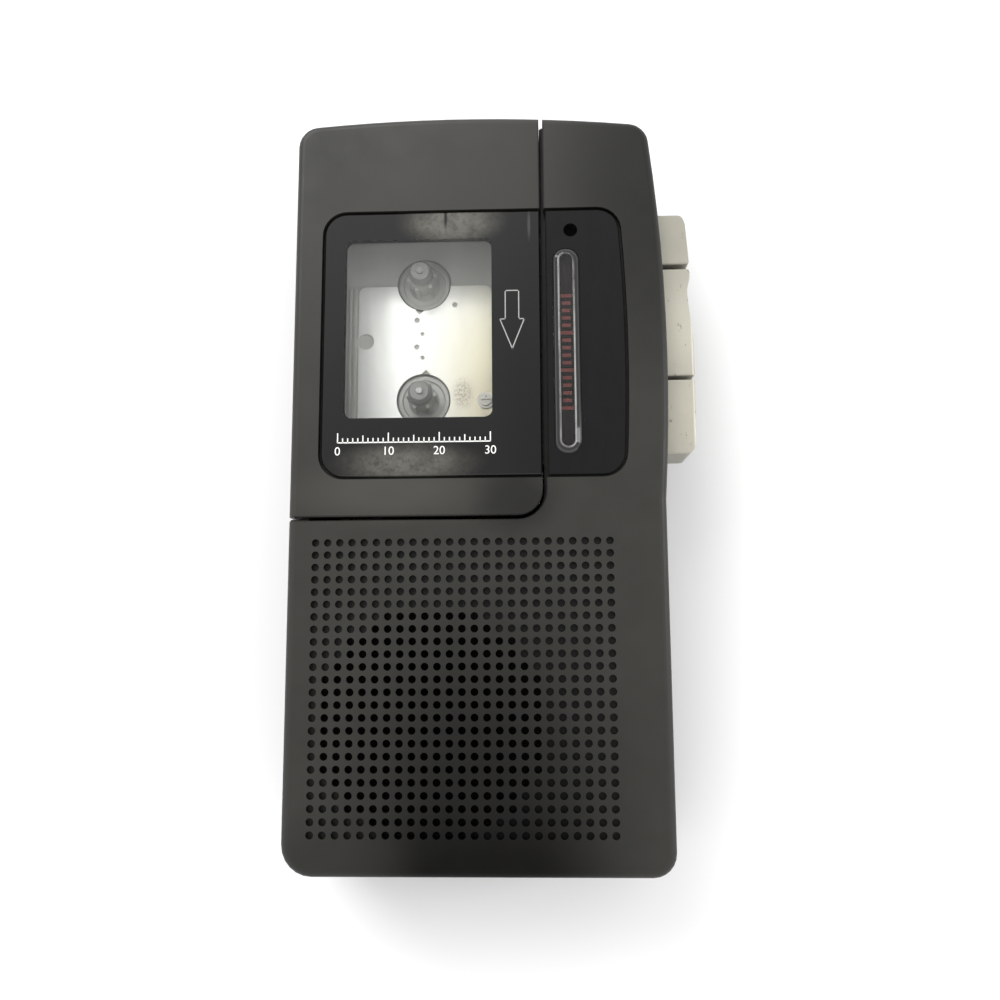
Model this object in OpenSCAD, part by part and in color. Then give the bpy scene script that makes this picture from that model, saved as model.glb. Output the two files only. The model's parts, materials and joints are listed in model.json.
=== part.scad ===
// Handheld recorder for microcassettes, lying on its back. Sizes in millimetres.
// X runs to the key side, Y to the top end, Z out of the front face.

/* [Body] */
// Width of the body without the keys
body_w = 57.5; // [57:0.1:60]
// Length of the body
body_l = 117.2; // [117:0.2:122]
// Thickness of the body from back to front
body_h = 23.8; // [23.6:0.1:26]
// Radius of the lower left corner
corner_low = 4.6; // [3.6:0.1:5.4]
// Radius of the lower right corner
corner_right = 3.5; // [2.8:0.1:5.4]
// Radius of the two upper corners
corner_top = 3.4; // [2.8:0.1:4.4]
// Rise of the arched top edge
top_rise = 1.2; // [0.8:0.1:2.4]
// Crest of the arched top edge left of the middle
top_crest = 4; // [0:0.5:6]
// Swell of the key side beyond its straight part
swell = 0.86; // [0.4:0.02:1.2]
// Crest of the swell above the middle of the body
swell_y = 19; // [17:0.5:21]
// Radius of the swell
swell_r = 300; // [240:5:360]
// Rounding of the front edge
front_round = 1.2; // [0.8:0.1:2]
// Rounding of the back edge
back_round = 2.4; // [1:0.1:2.6]
// Side wall thickness
wall = 1.5; // [1.3:0.1:1.6]
// Front wall thickness
front_wall = 2; // [1.8:0.1:2.3]
// Back wall thickness
back_wall = 1.6; // [1.6:0.1:1.8]
// Height of the joint between the rear case and the front case
split_z = 9.6; // [9.4:0.1:9.8]

/* [Cassette lid] */
// Lid width from the left side of the body
lid_w = 38.8; // [38.2:0.1:39.1]
// Lid length from the top of the body
lid_l = 64.65; // [64.2:0.05:65]
// Radius of the lid's inner corner
lid_corner = 3.8; // [2:0.1:5]
// Open seam between lid and front case
seam = 0.6; // [0.4:0.05:1.1]
// Depth of the seam's floor below the front face
seam_depth = 2.2; // [2.1:0.05:2.6]
// Chamfer along the seam and around the panels
edge = 0.2; // [0.1:0.02:0.3]
// Radius of the hinge bead along the lid's lower edge
bead_r = 0.95; // [0.9:0.01:1]
// Radius of the hinge pin
pin_r = 0.5; // [0.4:0.02:0.55]
// Running clearance of the hinge pin in the lid
pin_play = 0.06; // [0.03:0.01:0.08]

/* [Window panel] */
// Panel edge from the left side of the body
pan_left = 4.8; // [3.6:0.1:5.2]
// Panel edge from the top of the body
pan_top = 16.25; // [15:0.05:17]
// Panel edge above the lid's lower edge
pan_low = 6.1; // [5:0.1:7]
// Radius of the panel's corners
pan_corner = 3.5; // [2:0.1:4.5]
// Thickness of the clear panel
pan_t = 1.1; // [0.9:0.05:1.2]
// Gap around the panel
pan_gap = 0.4; // [0.2:0.02:0.5]
// Window edge from the panel's left edge
win_left = 3.45; // [3:0.05:6]
// Window edge from the panel's right edge
win_right = 7.65; // [7:0.05:9]
// Window edge from the panel's upper edge
win_top = 4.55; // [4:0.1:7]
// Window edge from the panel's lower edge
win_low = 9.2; // [7:0.05:11]

/* [Control panel] */
// Distance of the panel's curved edge from the swollen side
ctl_inset = 6.5; // [5:0.05:7]
// Radius of the panel's corners
ctl_corner = 3.4; // [2:0.1:4]
// Width of the raised clear bar
bar_w = 4.1; // [3.2:0.1:4.4]
// Height of the clear bar above the front face
bar_rise = 0.6; // [0.2:0.05:0.8]
// Width of the clear bar's sloping sides
bar_slope = 0.9; // [0.5:0.05:1.1]
// Radius of the microphone hole
mic_hole_r = 1.1; // [0.7:0.05:1.3]

/* [Grille] */
// Distance between columns of holes
pitch = 1.85; // [1.8:0.01:1.88]
// Columns of holes
cols = 25; // [23:1:25]
// Rows of holes
rows = 24; // [22:1:24]
// Radius of a hole
hole_r = 0.58; // [0.4:0.02:0.64]
// Depth of the blind holes
dimple = 0.8; // [0.5:0.05:1]
// Open holes lie inside this many pitches of the speaker's middle
open_pitches = 9.3; // [8:0.1:9.6]
// Speaker radius
speaker_r = 18; // [17:0.1:18.4]

/* [Keys] */
// Reach of the keys beyond the straight side
key_reach = 5.7; // [4.6:0.1:6.5]
// Length of the stop key
stop_len = 12; // [11:0.1:12.2]
// Length of the play key
play_len = 17.7; // [17:0.1:17.9]
// Length of the record key
rec_len = 8.4; // [7.6:0.1:8.6]
// Gap between stop key and play key
key_gap = 0.6; // [0.4:0.05:0.7]
// Gap between play key and record key
rec_gap = 0.76; // [0.6:0.02:1.5]
// Height of the keys above the back
key_z = 10.2; // [10.2:0.05:10.5]
// Thickness of the keys
key_h = 8.8; // [8.2:0.1:9]
// Rounding of the keys' long edges
key_round = 0.6; // [0.3:0.05:1]
// Depth of the thumb hollow in the play key
hollow = 0.65; // [0.5:0.05:1.1]
// Travel of the keys
key_travel = 2.4; // [2:0.1:2.5]

/* [Power and controls] */
// Radius of a battery cell
cell_r = 7; // [6.9:0.05:7.05]
// Length of a battery cell
cell_l = 50.5; // [50:0.1:50.6]
// Radius of the volume wheel
vol_r = 8; // [7.4:0.1:8.2]
// Reach of the volume wheel beyond the side
vol_out = 0.9; // [0.5:0.05:1.2]
// Ridges on the volume wheel
vol_ridges = 36; // [24:1:48]
// Radius of the jack bores
jack_r = 1.8; // [1.6:0.05:1.85]
// Motor radius
motor_r = 7.5; // [6.5:0.1:7.6]

/* [Tape deck] */
// Distance between the two reel spindles
reel_gap = 19.95; // [19.6:0.05:20.3]
// Height of the bright deck plate's face above the back
deck_z = 12.8; // [12.8:0.05:13]
// Radius of the openings around the spindles
reel_hole = 4.5; // [4.2:0.05:4.7]
// Radius of the spindle hubs
hub_r = 1.95; // [1.8:0.05:2.1]
// Radius of the spindle shafts
shaft_r = 0.5; // [0.45:0.01:0.6]
// Capstan radius
cap_r = 0.75; // [0.6:0.01:0.8]
// Pinch roller radius
roller_r = 3.2; // [2.9:0.05:3.25]
// Flywheel radius
fly_r = 9.6; // [9:0.1:9.8]
// Gear module
module_mm = 0.4; // [0.39:0.002:0.404]
// Teeth on the capstan pinion
pinion_teeth = 12; // [12:1:12]
// Teeth on the idler gear
idler_teeth = 18; // [18:1:19]
// Teeth on the reel gears
reel_teeth = 32; // [32:1:33]
// Backlash between teeth
backlash = 0.08; // [0.06:0.01:0.12]

/* [Hidden] */
$fn = 48;
eps = 0.01;
snug = 0.02;
slack = 0.1;

// Sides of the body
xl = -body_w / 2;
xr = body_w / 2;
yb = -body_l / 2;
yt = body_l / 2;
body_shift = -key_reach / 2;
in_z = body_h - front_wall;

// Lid and panels
lid_x1 = xl + lid_w;
lid_y0 = yt - lid_l;
seam_x = lid_x1 + seam;
seam_y = lid_y0 - seam;
pan_x0 = xl + pan_left;
pan_y0 = lid_y0 + pan_low;
pan_y1 = yt - pan_top;
pan_z = body_h - pan_t;
mask_t = 0.15;
win_x0 = pan_x0 + win_left;
win_x1 = lid_x1 - win_right;
win_y0 = pan_y0 + win_low;
win_y1 = pan_y1 - win_top;
hinge_x = xl + bead_r;
hinge_z = split_z + 0.2 + bead_r;
rib_t = 1.2;
lug_l = 2.6;
lug_low = lid_y0 + 2.4;
lug_high = yt - 7;
bar_x = lid_x1 + 4;
ctl_x0 = seam_x + 0.3;
bar_y0 = pan_y0 + 3.25;
bar_y1 = pan_y1 - 6.4;
mic_x = lid_x1 + 4.8;
mic_y = pan_y1 - 3.35;
mic_r = 2.2;

// Grille and speaker
col_x = xl + 4.35;
row_y = lid_y0 - 4;
row_end = yb + 6;
row_step = (row_y - row_end) / (rows - 1);
grille_edge = 1.25;
grille_x0 = col_x - grille_edge;
grille_x1 = col_x + (cols - 1) * pitch + grille_edge;
grille_y1 = row_y + grille_edge;
grille_y0 = row_end - grille_edge;
speaker_col = 9.5;
speaker_x = col_x + speaker_col * pitch;
speaker_y = row_end + 8.5 * pitch;

// Keys
keys_end = pan_y1 + 1.01;
rec_y = keys_end - rec_len;
play_y = rec_y - rec_gap - play_len;
stop_y = play_y - key_gap - stop_len;
thumb_y = play_y + play_len - 4;
side_screw_y = stop_y - 8.3;
slot_play = 0.3;
key_face = key_reach - swell;
stem_x = xr - 7.1;
flange_t = 1.4;
spring_x0 = xr - 11.8;
spring_x1 = stem_x + 2.5;
spring_z = key_z + 6;
spring_r = 1.3;
wire_r = 0.2;

// Battery bay
cell_pitch = 2 * cell_r + 0.4;
cell_x1 = xl + 2.9 + cell_r;
cell_x2 = cell_x1 + cell_pitch;
cell_z = 1.8 + cell_r;
contact_t = 0.4;
spring_room = 3;
bat_y0 = yb + wall + 0.1;
bat_y1 = bat_y0 + cell_l + spring_room + 2 * contact_t;
cell_top = cell_z + cell_r;
speaker_t = in_z - cell_top - 1;
cover_x0 = cell_x1 - cell_r + 0.6;
cover_x1 = cell_x2 + cell_r - 0.6;
cover_lip = 1;
cover_z1 = 0.9;
cover_z2 = 1.6;
cover_play = 0.15;

// Deck stack, from the circuit board up to the plate
board_z0 = 2.2;
board_z1 = 3.2;
fly_z0 = 5;
fly_z1 = 7.6;
chassis_z0 = 8.8;
chassis_z1 = 10;
gear_z0 = 10.2;
gear_z1 = 11.2;
plate_t = 0.4;
frame_z1 = deck_z - plate_t;
frame_z0 = frame_z1 - 0.7;
bay_y0 = max(bat_y1 + 2.1, lid_y0 + 5.45);
bay_y1 = yt - 7.7;
reel_mid = (bay_y0 + bay_y1) / 2 - 0.6;
reel_x = lid_x1 - 19.45;
takeup_y = reel_mid - reel_gap / 2;
supply_y = reel_mid + reel_gap / 2;
bay_x0 = xl + 2.9;
bay_x1 = lid_x1 - 1.9;
bay_wall = 1.2;
chassis_x1 = xr - 2.2;
chassis_y0 = bat_y1 + 1.3;
cap_x = lid_x1 - 4.3;
cap_y = reel_mid - 12.9;
motor_x = xr - 9.6;
motor_y = side_screw_y - motor_r - 4.1;
motor_top = in_z - 1;
pulley_r = 2;
belt_w = 0.9;
belt_play = 0.1;
belt_r = fly_r - 1;
roller_x = cap_x + cap_r + roller_r + 0.1 + key_travel;
head_x = lid_x1 - 1.1;
pivot_x = roller_x + 1.9;
pivot_y = cap_y - 5.6;
carriage_z0 = chassis_z1 + 0.3;
carriage_z1 = carriage_z0 + 1;
carriage_x1 = stem_x - 0.2;
carriage_y0 = pivot_y - 2.4;
carriage_y1 = keys_end + 0.6;
guide_x = head_x + 7.4;
guide_r = 0.8;
bracket_t = 0.8;

// Gear train: pinion on the capstan, idler, take-up reel
pinion_p = module_mm * pinion_teeth / 2;
idler_p = module_mm * idler_teeth / 2;
reel_p = module_mm * reel_teeth / 2;
train = [reel_x - cap_x, takeup_y - cap_y];
near = pinion_p + idler_p;
far = idler_p + reel_p;
along = (near * near - far * far + train * train) / (2 * norm(train));
aside = sqrt(near * near - along * along);
idler_at = [cap_x, cap_y] + (along * train + aside * [-train.y, train.x]) / norm(train);
turn_1 = atan2(idler_at.y - cap_y, idler_at.x - cap_x);
turn_2 = turn_1 + 180 + 180 / idler_teeth;
lean = atan2(takeup_y - idler_at.y, reel_x - idler_at.x);
turn_3 = lean + 180 - (turn_2 - lean) * idler_teeth / reel_teeth + 180 / reel_teeth;

// Screws and posts
screw_r = 0.8;
screw_hole = 0.95;
screw_head = 1.6;
boss_r = 2.1;
front_screws = [[xr - 3.65, yt - 9.1], [cell_x2 + cell_r + 3.5, yb + 4.6], [xr - 4.2, side_screw_y]];
deck_boss = [bay_x0 + 2.7, bay_y1 - 3.4];
posts = [[bay_x0 + 2.4, chassis_y0 + 2.4], [xr - 4.2, keys_end + 1.9]];
post_r = 1.8;

// Controls on the sides
speed_y = yb + 8.6;
speed_z = 5.2;
speed_travel = 3;
vol_x = xr + vol_out - vol_r;
vol_y = speed_y + speed_travel + vol_r + 4;
vol_z0 = 6.6;
vol_z1 = 9.2;
jack_x1 = lid_x1 + 5.1;
jack_x2 = jack_x1 + 5.3;
jack_nose = 2.4;
power_x = front_screws[1].x + 6.9;

// Body outline, built from tangent arcs and moved in by d
arch_r = (pow(xr - corner_top, 2) + top_rise * top_rise) / (2 * top_rise);
arch_c = [-top_crest, yt - arch_r];
swell_c = [xr + swell - swell_r, swell_y];
low_left = [xl + corner_low, yb + corner_low];
low_right = [xr - corner_right, yb + corner_right];
top_left = [xl + corner_top,
  arch_c.y + sqrt(pow(arch_r - corner_top, 2) - pow(xl + corner_top - arch_c.x, 2))];
top_right = circles_meet(swell_c, swell_r - corner_top, arch_c, arch_r - corner_top);
swell_end = heading(swell_c, top_right);
arch_start = heading(arch_c, top_right);
arch_end = heading(arch_c, top_left);

function heading(a, b) = atan2(b.y - a.y, b.x - a.x);

function circles_meet(a, ra, b, rb) =
  let (gap = b - a, far_apart = norm(gap))
  let (reach = (ra * ra - rb * rb + far_apart * far_apart) / (2 * far_apart))
  a + (reach * gap + sqrt(ra * ra - reach * reach) * [-gap.y, gap.x]) / far_apart;

function arc(c, r, a0, a1, n, last = 1) =
  [for (i = [0 : n - 1 + last]) c + r * [cos(a0 + (a1 - a0) * i / n), sin(a0 + (a1 - a0) * i / n)]];

function swell_start(d) = -asin(sqrt(swell * (2 * (swell_r - d) - swell)) / (swell_r - d));

function outline(d) = concat(
  arc(low_left, corner_low - d, 180, 270, 6),
  arc(low_right, corner_right - d, 270, 360, 6),
  arc(swell_c, swell_r - d, swell_start(d), swell_end, 10, 0),
  arc(top_right, corner_top - d, swell_end, arch_start, 6, 0),
  arc(arch_c, arch_r - d, arch_start, arch_end, 12, 0),
  arc(top_left, corner_top - d, arch_end, 180, 6)
);

function swell_x(y, d) = swell_c.x + sqrt(pow(swell_r - d, 2) - pow(y - swell_y, 2));

// Solid through a stack of [height, outline] levels
module loft(levels) {
  n = len(levels[0][1]);
  m = len(levels);
  points = [for (level = levels) for (p = level[1]) [p.x, p.y, level[0]]];
  sides = [for (k = [0 : m - 2]) for (i = [0 : n - 1])
    let (a = k * n + i, b = k * n + (i + 1) % n)
    each [[a, a + n, b + n], [a, b + n, b]]];
  floor_face = [for (i = [0 : n - 1]) i];
  roof_face = [for (i = [n - 1 : -1 : 0]) (m - 1) * n + i];
  polyhedron(points, concat([floor_face], sides, [roof_face]));
}

// Solid through a stack of [height, inset] rings of the body outline
module body_loft(rings) {
  loft([for (r = rings) [r[0], outline(r[1])]]);
}

module front_shape() {
  rounded = [for (a = [0 : 18 : 90])
    [body_h - front_round + front_round * sin(a), front_round * (1 - cos(a))]];
  body_loft(concat([[split_z, 0]], rounded));
}

module rear_shape(top = split_z) {
  rounded = [for (a = [90 : -18 : 0])
    [back_round - back_round * sin(a), back_round * (1 - cos(a))]];
  body_loft(concat(rounded, [[top, 0]]));
}

module hollow_shape(z0, z1) {
  body_loft([[z0, wall], [z1, wall]]);
}

module block(a, b) {
  translate(a)
    cube(b - a);
}

module rod(x, y, z0, z1, r) {
  translate([x, y, z0])
    cylinder(h = z1 - z0, r = r);
}

// Rod along Y, and rod along X
module rod_y(x, z, y0, y1, r) {
  translate([x, y0, z])
    rotate([-90, 0, 0])
      cylinder(h = y1 - y0, r = r);
}

module rod_x(y, z, x0, x1, r) {
  translate([x0, y, z])
    rotate([0, 90, 0])
      cylinder(h = x1 - x0, r = r);
}

module slab(points, z0, z1) {
  translate([0, 0, z0])
    linear_extrude(z1 - z0)
      polygon(points);
}

function round_box(x0, y0, x1, y1, r) = concat(
  arc([x0 + r, y0 + r], r, 180, 270, 6),
  arc([x1 - r, y0 + r], r, 270, 360, 6),
  arc([x1 - r, y1 - r], r, 0, 90, 6),
  arc([x0 + r, y1 - r], r, 90, 180, 6)
);

// Lid region seen from the front, grown by g
function lid_area(g) = concat(
  [[xl - 5, yt + 5], [xl - 5, lid_y0 - g]],
  arc([lid_x1 - lid_corner, lid_y0 + lid_corner], lid_corner + g, 270, 360, 8),
  [[lid_x1 + g, yt + 5]]
);

// Window panel, open to the right at x1
function pan_area(g, x1) = concat(
  arc([pan_x0 + pan_corner, pan_y0 + pan_corner], pan_corner + g, 180, 270, 8),
  [[x1, pan_y0 - g], [x1, pan_y1 + g]],
  arc([pan_x0 + pan_corner, pan_y1 - pan_corner], pan_corner + g, 90, 180, 8)
);

// Control panel, with its right edge parallel to the swell
function ctl_centre(y) = [swell_x(y, ctl_inset + ctl_corner), y];

function ctl_area(g, x0) =
  let (low = ctl_centre(pan_y0 + ctl_corner), high = ctl_centre(pan_y1 - ctl_corner))
  let (a0 = heading(swell_c, low), a1 = heading(swell_c, high))
  concat(
    [[x0, pan_y0 - g]],
    arc(low, ctl_corner + g, -90, a0, 6, 0),
    arc(swell_c, swell_r - ctl_inset + g, a0, a1, 8, 0),
    arc(high, ctl_corner + g, a1, 90, 6),
    [[x0, pan_y1 + g]]
  );

function bar_area(g) =
  round_box(bar_x - bar_w / 2 - g, bar_y0 - g, bar_x + bar_w / 2 + g, bar_y1 + g, 0.48 * bar_w + g);

function hole_x(i) = col_x + i * pitch;
function hole_y(j) = row_y - j * row_step;
function is_open(i, j) = norm([hole_x(i) - speaker_x, hole_y(j) - speaker_y]) < open_pitches * pitch;

module key_slot() {
  block([xr - 3, stop_y - slot_play, split_z - 1], [xr + 3, keys_end + slot_play, key_z + key_h + 0.2]);
}

module jack_notch() {
  for (x = [jack_x1, jack_x2])
    rod_y(x, split_z, yt - 6, yt + 2, jack_nose + slack);
  rod_y(power_x, split_z, yb - 2, yb + 6, jack_nose + slack);
}

// Space for the heads and the roller, and for the cells, under the seam
module seam_clearance() {
  block([seam_x - 2, carriage_y0 - 3.1, split_z - 1], [seam_x + 3, keys_end + 3, in_z - rib_t]);
  block([bay_x0 - 0.2, seam_y - 3, split_z - 1], [cell_x2 + cell_r + 0.6, seam_y + 1, cell_top + 0.5]);
}

// Floor of the open seam: open at the top end, close under the surface at the left side
module seam_floor() {
  top = body_h - seam_depth;
  side_top = body_h - front_round;
  difference() {
    intersection() {
      union() {
        body_loft([[split_z, 0.8], [top, 0.8]]);
        intersection() {
          body_loft([[split_z, 0.15], [side_top, 0.15]]);
          block([xl - 1, seam_y - 2, split_z - 1], [xl + 3, lid_y0 + 2, body_h]);
        }
      }
      slab(lid_area(seam + 0.3), split_z, body_h);
    }
    slab(lid_area(0.3), split_z - 1, body_h + 1);
    hollow_shape(split_z - 1, chassis_z1 + 0.2);
    seam_clearance();
  }
}

module front_case() {
  color("#3a3a38") {
    difference() {
      union() {
        difference() {
          front_shape();
          hollow_shape(split_z - 1, in_z);
        }
        intersection() {
          hollow_shape(split_z, in_z + 0.5);
          difference() {
            slab(lid_area(seam + rib_t), chassis_z1 + 0.2, in_z + 0.5);
            slab(lid_area(seam), split_z - 1, in_z + 1);
            seam_clearance();
          }
        }
        for (p = front_screws)
          rod(p.x, p.y, split_z, in_z + eps, boss_r);
      }
      slab(lid_area(seam), split_z - 1, body_h + 1);
      loft([[body_h - edge, lid_area(seam)], [body_h + edge, lid_area(seam + 2 * edge)]]);
      slab(ctl_area(pan_gap, seam_x - 1), pan_z, body_h + 1);
      block([seam_x - 1, pan_y0 - pan_gap, body_h - seam_depth], [ctl_x0, pan_y1 + pan_gap, pan_z + 1]);
      slab(bar_area(0.1), in_z - 1, pan_z + 1);
      rod(mic_x, mic_y, in_z - 1, pan_z + 1, mic_hole_r + 0.2);
      block([grille_x0, grille_y0, in_z - 1], [grille_x1, grille_y1, body_h + 1]);
      key_slot();
      jack_notch();
      for (p = front_screws)
        rod(p.x, p.y, split_z - 1, split_z + 8, screw_r);
    }
    seam_floor();
  }
}

module speaker_grille() {
  color("#3a3a38")
    union() {
      translate([0, 0, body_h - dimple])
        linear_extrude(dimple)
          difference() {
            translate([grille_x0, grille_y0])
              square([grille_x1 - grille_x0, grille_y1 - grille_y0]);
            for (i = [0 : cols - 1])
              for (j = [0 : rows - 1])
                translate([hole_x(i), hole_y(j)])
                  circle(hole_r);
          }
      translate([0, 0, in_z])
        linear_extrude(front_wall - dimple)
          difference() {
            translate([grille_x0, grille_y0])
              square([grille_x1 - grille_x0, grille_y1 - grille_y0]);
            for (i = [0 : cols - 1])
              for (j = [0 : rows - 1])
                if (is_open(i, j))
                  translate([hole_x(i), hole_y(j)])
                    circle(hole_r);
          }
      difference() {
        rod(speaker_x, speaker_y, in_z - 0.6 * speaker_t, in_z, speaker_r + 1.1);
        rod(speaker_x, speaker_y, in_z - speaker_t, in_z + 1, speaker_r + slack);
      }
    }
}

module cover_profile(g) {
  block([cover_x0 - g, yb - 1, -1], [cover_x1 + g, bat_y1 + g, cover_z1 + g]);
  block([cover_x0 - cover_lip - g, yb - 1, cover_z1 - g],
    [cover_x1 + cover_lip + g, bat_y1 + g, cover_z2 + g]);
}

module rear_case() {
  rail_z = cover_z2 + cover_play;
  side_x = cover_x1 + cover_lip + cover_play;
  color("#30302e")
    difference() {
      union() {
        difference() {
          rear_shape();
          hollow_shape(back_wall, split_z + 1);
        }
        intersection() {
          rear_shape();
          union() {
            block([side_x, yb + 1, 0], [side_x + 0.9, bat_y1 + 1, split_z]);
            block([xl + 1, bat_y1 + cover_play, 0], [side_x + 0.9, bat_y1 + 1, split_z]);
            block([xl + 1, yb + 1, rail_z], [cover_x0 - 0.7, bat_y1 + 1, rail_z + 1]);
            block([cover_x1 + 0.7, yb + 1, rail_z], [side_x + 0.5, bat_y1 + 1, rail_z + 1]);
          }
        }
        for (p = front_screws)
          rod(p.x, p.y, eps + 0.5, split_z, boss_r);
        rod(deck_boss.x, deck_boss.y, 0.5, chassis_z0, boss_r);
        for (p = posts) {
          rod(p.x, p.y, back_wall - 0.2, board_z0, post_r + 1);
          rod(p.x, p.y, back_wall - 0.2, chassis_z0, post_r);
        }
        for (y = [lug_low, lug_high]) {
          rod_y(hinge_x, hinge_z, y, y + lug_l, bead_r);
          block([hinge_x - 0.7, y, split_z - 1], [hinge_x + bead_r, y + lug_l, hinge_z]);
        }
      }
      cover_profile(cover_play);
      for (p = concat(front_screws, [deck_boss])) {
        rod(p.x, p.y, -1, split_z + 1, screw_hole);
        rod(p.x, p.y, -1, 1.9, screw_head + 0.2);
      }
      for (y = [lug_low, lug_high])
        rod_y(hinge_x, hinge_z, y - 1, y + lug_l + 1, pin_r);
      for (p = posts)
        rod(p.x, p.y, chassis_z0 - 4, chassis_z0 + 1, screw_r);
      jack_notch();
      block([xr - 3, vol_y - 6.4, vol_z0 - 0.3], [xr + 3, vol_y + 6.4, split_z + 1]);
      block([xr - 3, speed_y - 2.4, speed_z - 1.2], [xr + 3, speed_y + 2.4 + speed_travel, speed_z + 1.2]);
    }
}

module cassette_lid() {
  lug_gap = 0.2;
  color("#3a3a38")
    difference() {
      union() {
        difference() {
          intersection() {
            front_shape();
            loft([[split_z + 0.2, lid_area(0)], [body_h - edge, lid_area(0)],
              [body_h + edge, lid_area(-2 * edge)]]);
          }
          hollow_shape(split_z - 1, in_z);
          block([xl - 1, lid_y0 - 1, split_z], [hinge_x, yt + 1, hinge_z]);
        }
        intersection() {
          body_loft([[split_z, 0], [hinge_z + 2, 0]]);
          rod_y(hinge_x, hinge_z, lid_y0, yt, bead_r);
        }
        intersection() {
          hollow_shape(split_z, in_z + 0.5);
          difference() {
            slab(lid_area(0), in_z - 1.4, in_z + 0.5);
            slab(lid_area(-1.2), in_z - 2, in_z + 1);
          }
        }
      }
      slab(pan_area(pan_gap, lid_x1 + 1), pan_z - mask_t, body_h + 1);
      block([win_x0 - 0.6, win_y0 - 0.6, in_z - 1], [win_x1 + 0.6, win_y1 + 0.6, body_h]);
      rod_y(hinge_x, hinge_z, lid_y0 - 1, yt - corner_top, pin_r + pin_play);
      for (y = [lug_low, lug_high]) {
        rod_y(hinge_x, hinge_z, y - lug_gap, y + lug_l + lug_gap, bead_r + 0.3);
        block([xl - 1, y - lug_gap, split_z], [hinge_x + 2, y + lug_l + lug_gap, hinge_z]);
      }
    }
}

module lid_hinge_pin() {
  color("#b8babc")
    rod_y(hinge_x, hinge_z, lug_low - 1.6, lug_high + lug_l + 0.8, pin_r);
}

module lid_window() {
  color("#d8dde0", 0.4)
    loft([[pan_z, pan_area(0, lid_x1)], [body_h - edge, pan_area(0, lid_x1)],
      [body_h, pan_area(-edge, lid_x1 - edge)]]);
}

module lid_mask() {
  color("#1c1c1c")
    difference() {
      slab(pan_area(0, lid_x1), pan_z - mask_t, pan_z);
      slab(round_box(win_x0, win_y0, win_x1, win_y1, 1.2), pan_z - 1, pan_z + 1);
    }
}

module control_panel() {
  color("#232326")
    difference() {
      loft([[pan_z, ctl_area(0, ctl_x0)], [body_h - edge, ctl_area(0, ctl_x0)],
        [body_h, ctl_area(-edge, ctl_x0 + edge)]]);
      slab(bar_area(0.05), pan_z - 1, body_h + 1);
      rod(mic_x, mic_y, pan_z - 1, body_h + 1, mic_hole_r);
    }
}

module lamp_bar() {
  strip_top = in_z + 0.3;
  color("#c8d0c8", 0.5)
    loft([[strip_top, bar_area(0)], [body_h, bar_area(0)],
      [body_h + 0.5 * bar_rise, bar_area(-0.3 * bar_slope)],
      [body_h + 0.9 * bar_rise, bar_area(-0.8 * bar_slope)],
      [body_h + bar_rise, bar_area(-bar_slope)]]);
}

module lamp_strip() {
  color("#8c2f2a")
    slab(bar_area(0), in_z, in_z + 0.3);
}

module record_lamp() {
  color("#b03028")
    union() {
      rod(bar_x, bar_y1 - 3, in_z - 1.6, in_z, 1.5);
      rod(bar_x, bar_y1 - 3, in_z - 2.4, in_z - 1.6, 1.8);
    }
}

// Thumb hollow of the play key: short rise to the upper end, long rise to the lower end
function thumb(t) = t > 3.2 || t < -9.5 ? 0 : (1 + cos(180 * t / (t > 0 ? 3.2 : 9.5))) / 2;

// Keys: plan follows the swell, all outer edges are rounded
module key_blank(y0, y1, corner_a, corner_b) {
  steps = 20;
  dip = y0 < thumb_y && thumb_y < y1 ? hollow : 0;
  face = [for (i = [0 : steps]) let (y = y0 + (y1 - y0) * i / steps)
    [swell_x(y, -key_face) - dip * thumb(y - thumb_y), y]];
  intersection() {
    difference() {
      slab(concat([[stem_x, y0]], face, [[stem_x, y1]]), key_z, key_z + key_h);
      if (corner_a > 0)
        corner_cut(swell_x(y0, -key_face), y0, corner_a, 1);
      if (corner_b > 0)
        corner_cut(swell_x(y1, -key_face), y1, corner_b, -1);
    }
    translate([0, y1 + 1, 0])
      rotate([90, 0, 0])
        linear_extrude(y1 - y0 + 2)
          polygon(round_box(stem_x - 1, key_z, xr + key_reach, key_z + key_h, key_round));
    translate([stem_x - 1, 0, 0])
      rotate([90, 0, 90])
        linear_extrude(xr + key_reach + 2 - stem_x)
          polygon(round_box(y0, key_z, y1, key_z + key_h, key_round / 2));
  }
}

// Rounds an outer corner of a key in plan
module corner_cut(x, y, r, side) {
  difference() {
    translate([x - r, side > 0 ? y - 1 : y - r, 0])
      cube([r + 1, r + 1, body_h]);
    rod(x - r, y + side * r, -1, body_h + 1, r);
  }
}

// Inner part of a key: guide stem, stop flange and spring pocket
module key(y0, y1, corner_a, corner_b) {
  mid = (y0 + y1) / 2;
  steps = 8;
  near_wall = wall + 0.15;
  far_wall = near_wall + flange_t;
  wall_in = [for (i = [0 : steps]) let (y = y0 + (y1 - y0) * i / steps) [swell_x(y, near_wall), y]];
  wall_out = [for (i = [steps : -1 : 0]) let (y = y0 + (y1 - y0) * i / steps) [swell_x(y, far_wall), y]];
  difference() {
    union() {
      difference() {
        key_blank(y0, y1, corner_a, corner_b);
        block([stem_x - 1, y0 - 1, key_z - 1], [xr - 3.4, y1 + 1, key_z + 1.6]);
        block([stem_x - 1, y0 - 1, key_z + 7.8], [xr - 3.4, y1 + 1, key_z + key_h + 1]);
      }
      slab(concat(wall_in, wall_out), key_z, in_z - 1.6);
    }
    rod_x(mid, spring_z, stem_x - 1, spring_x1, spring_r + 0.3);
  }
}

module record_key() {
  color("#b4b1a2")
    key(rec_y, keys_end, 0.4, 1.4);
}

module play_key() {
  color("#b4b1a2")
    key(play_y, play_y + play_len, 0.4, 0.6);
}

module stop_key() {
  color("#b4b1a2")
    key(stop_y, stop_y + stop_len, 1.5, 0.4);
}

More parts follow.
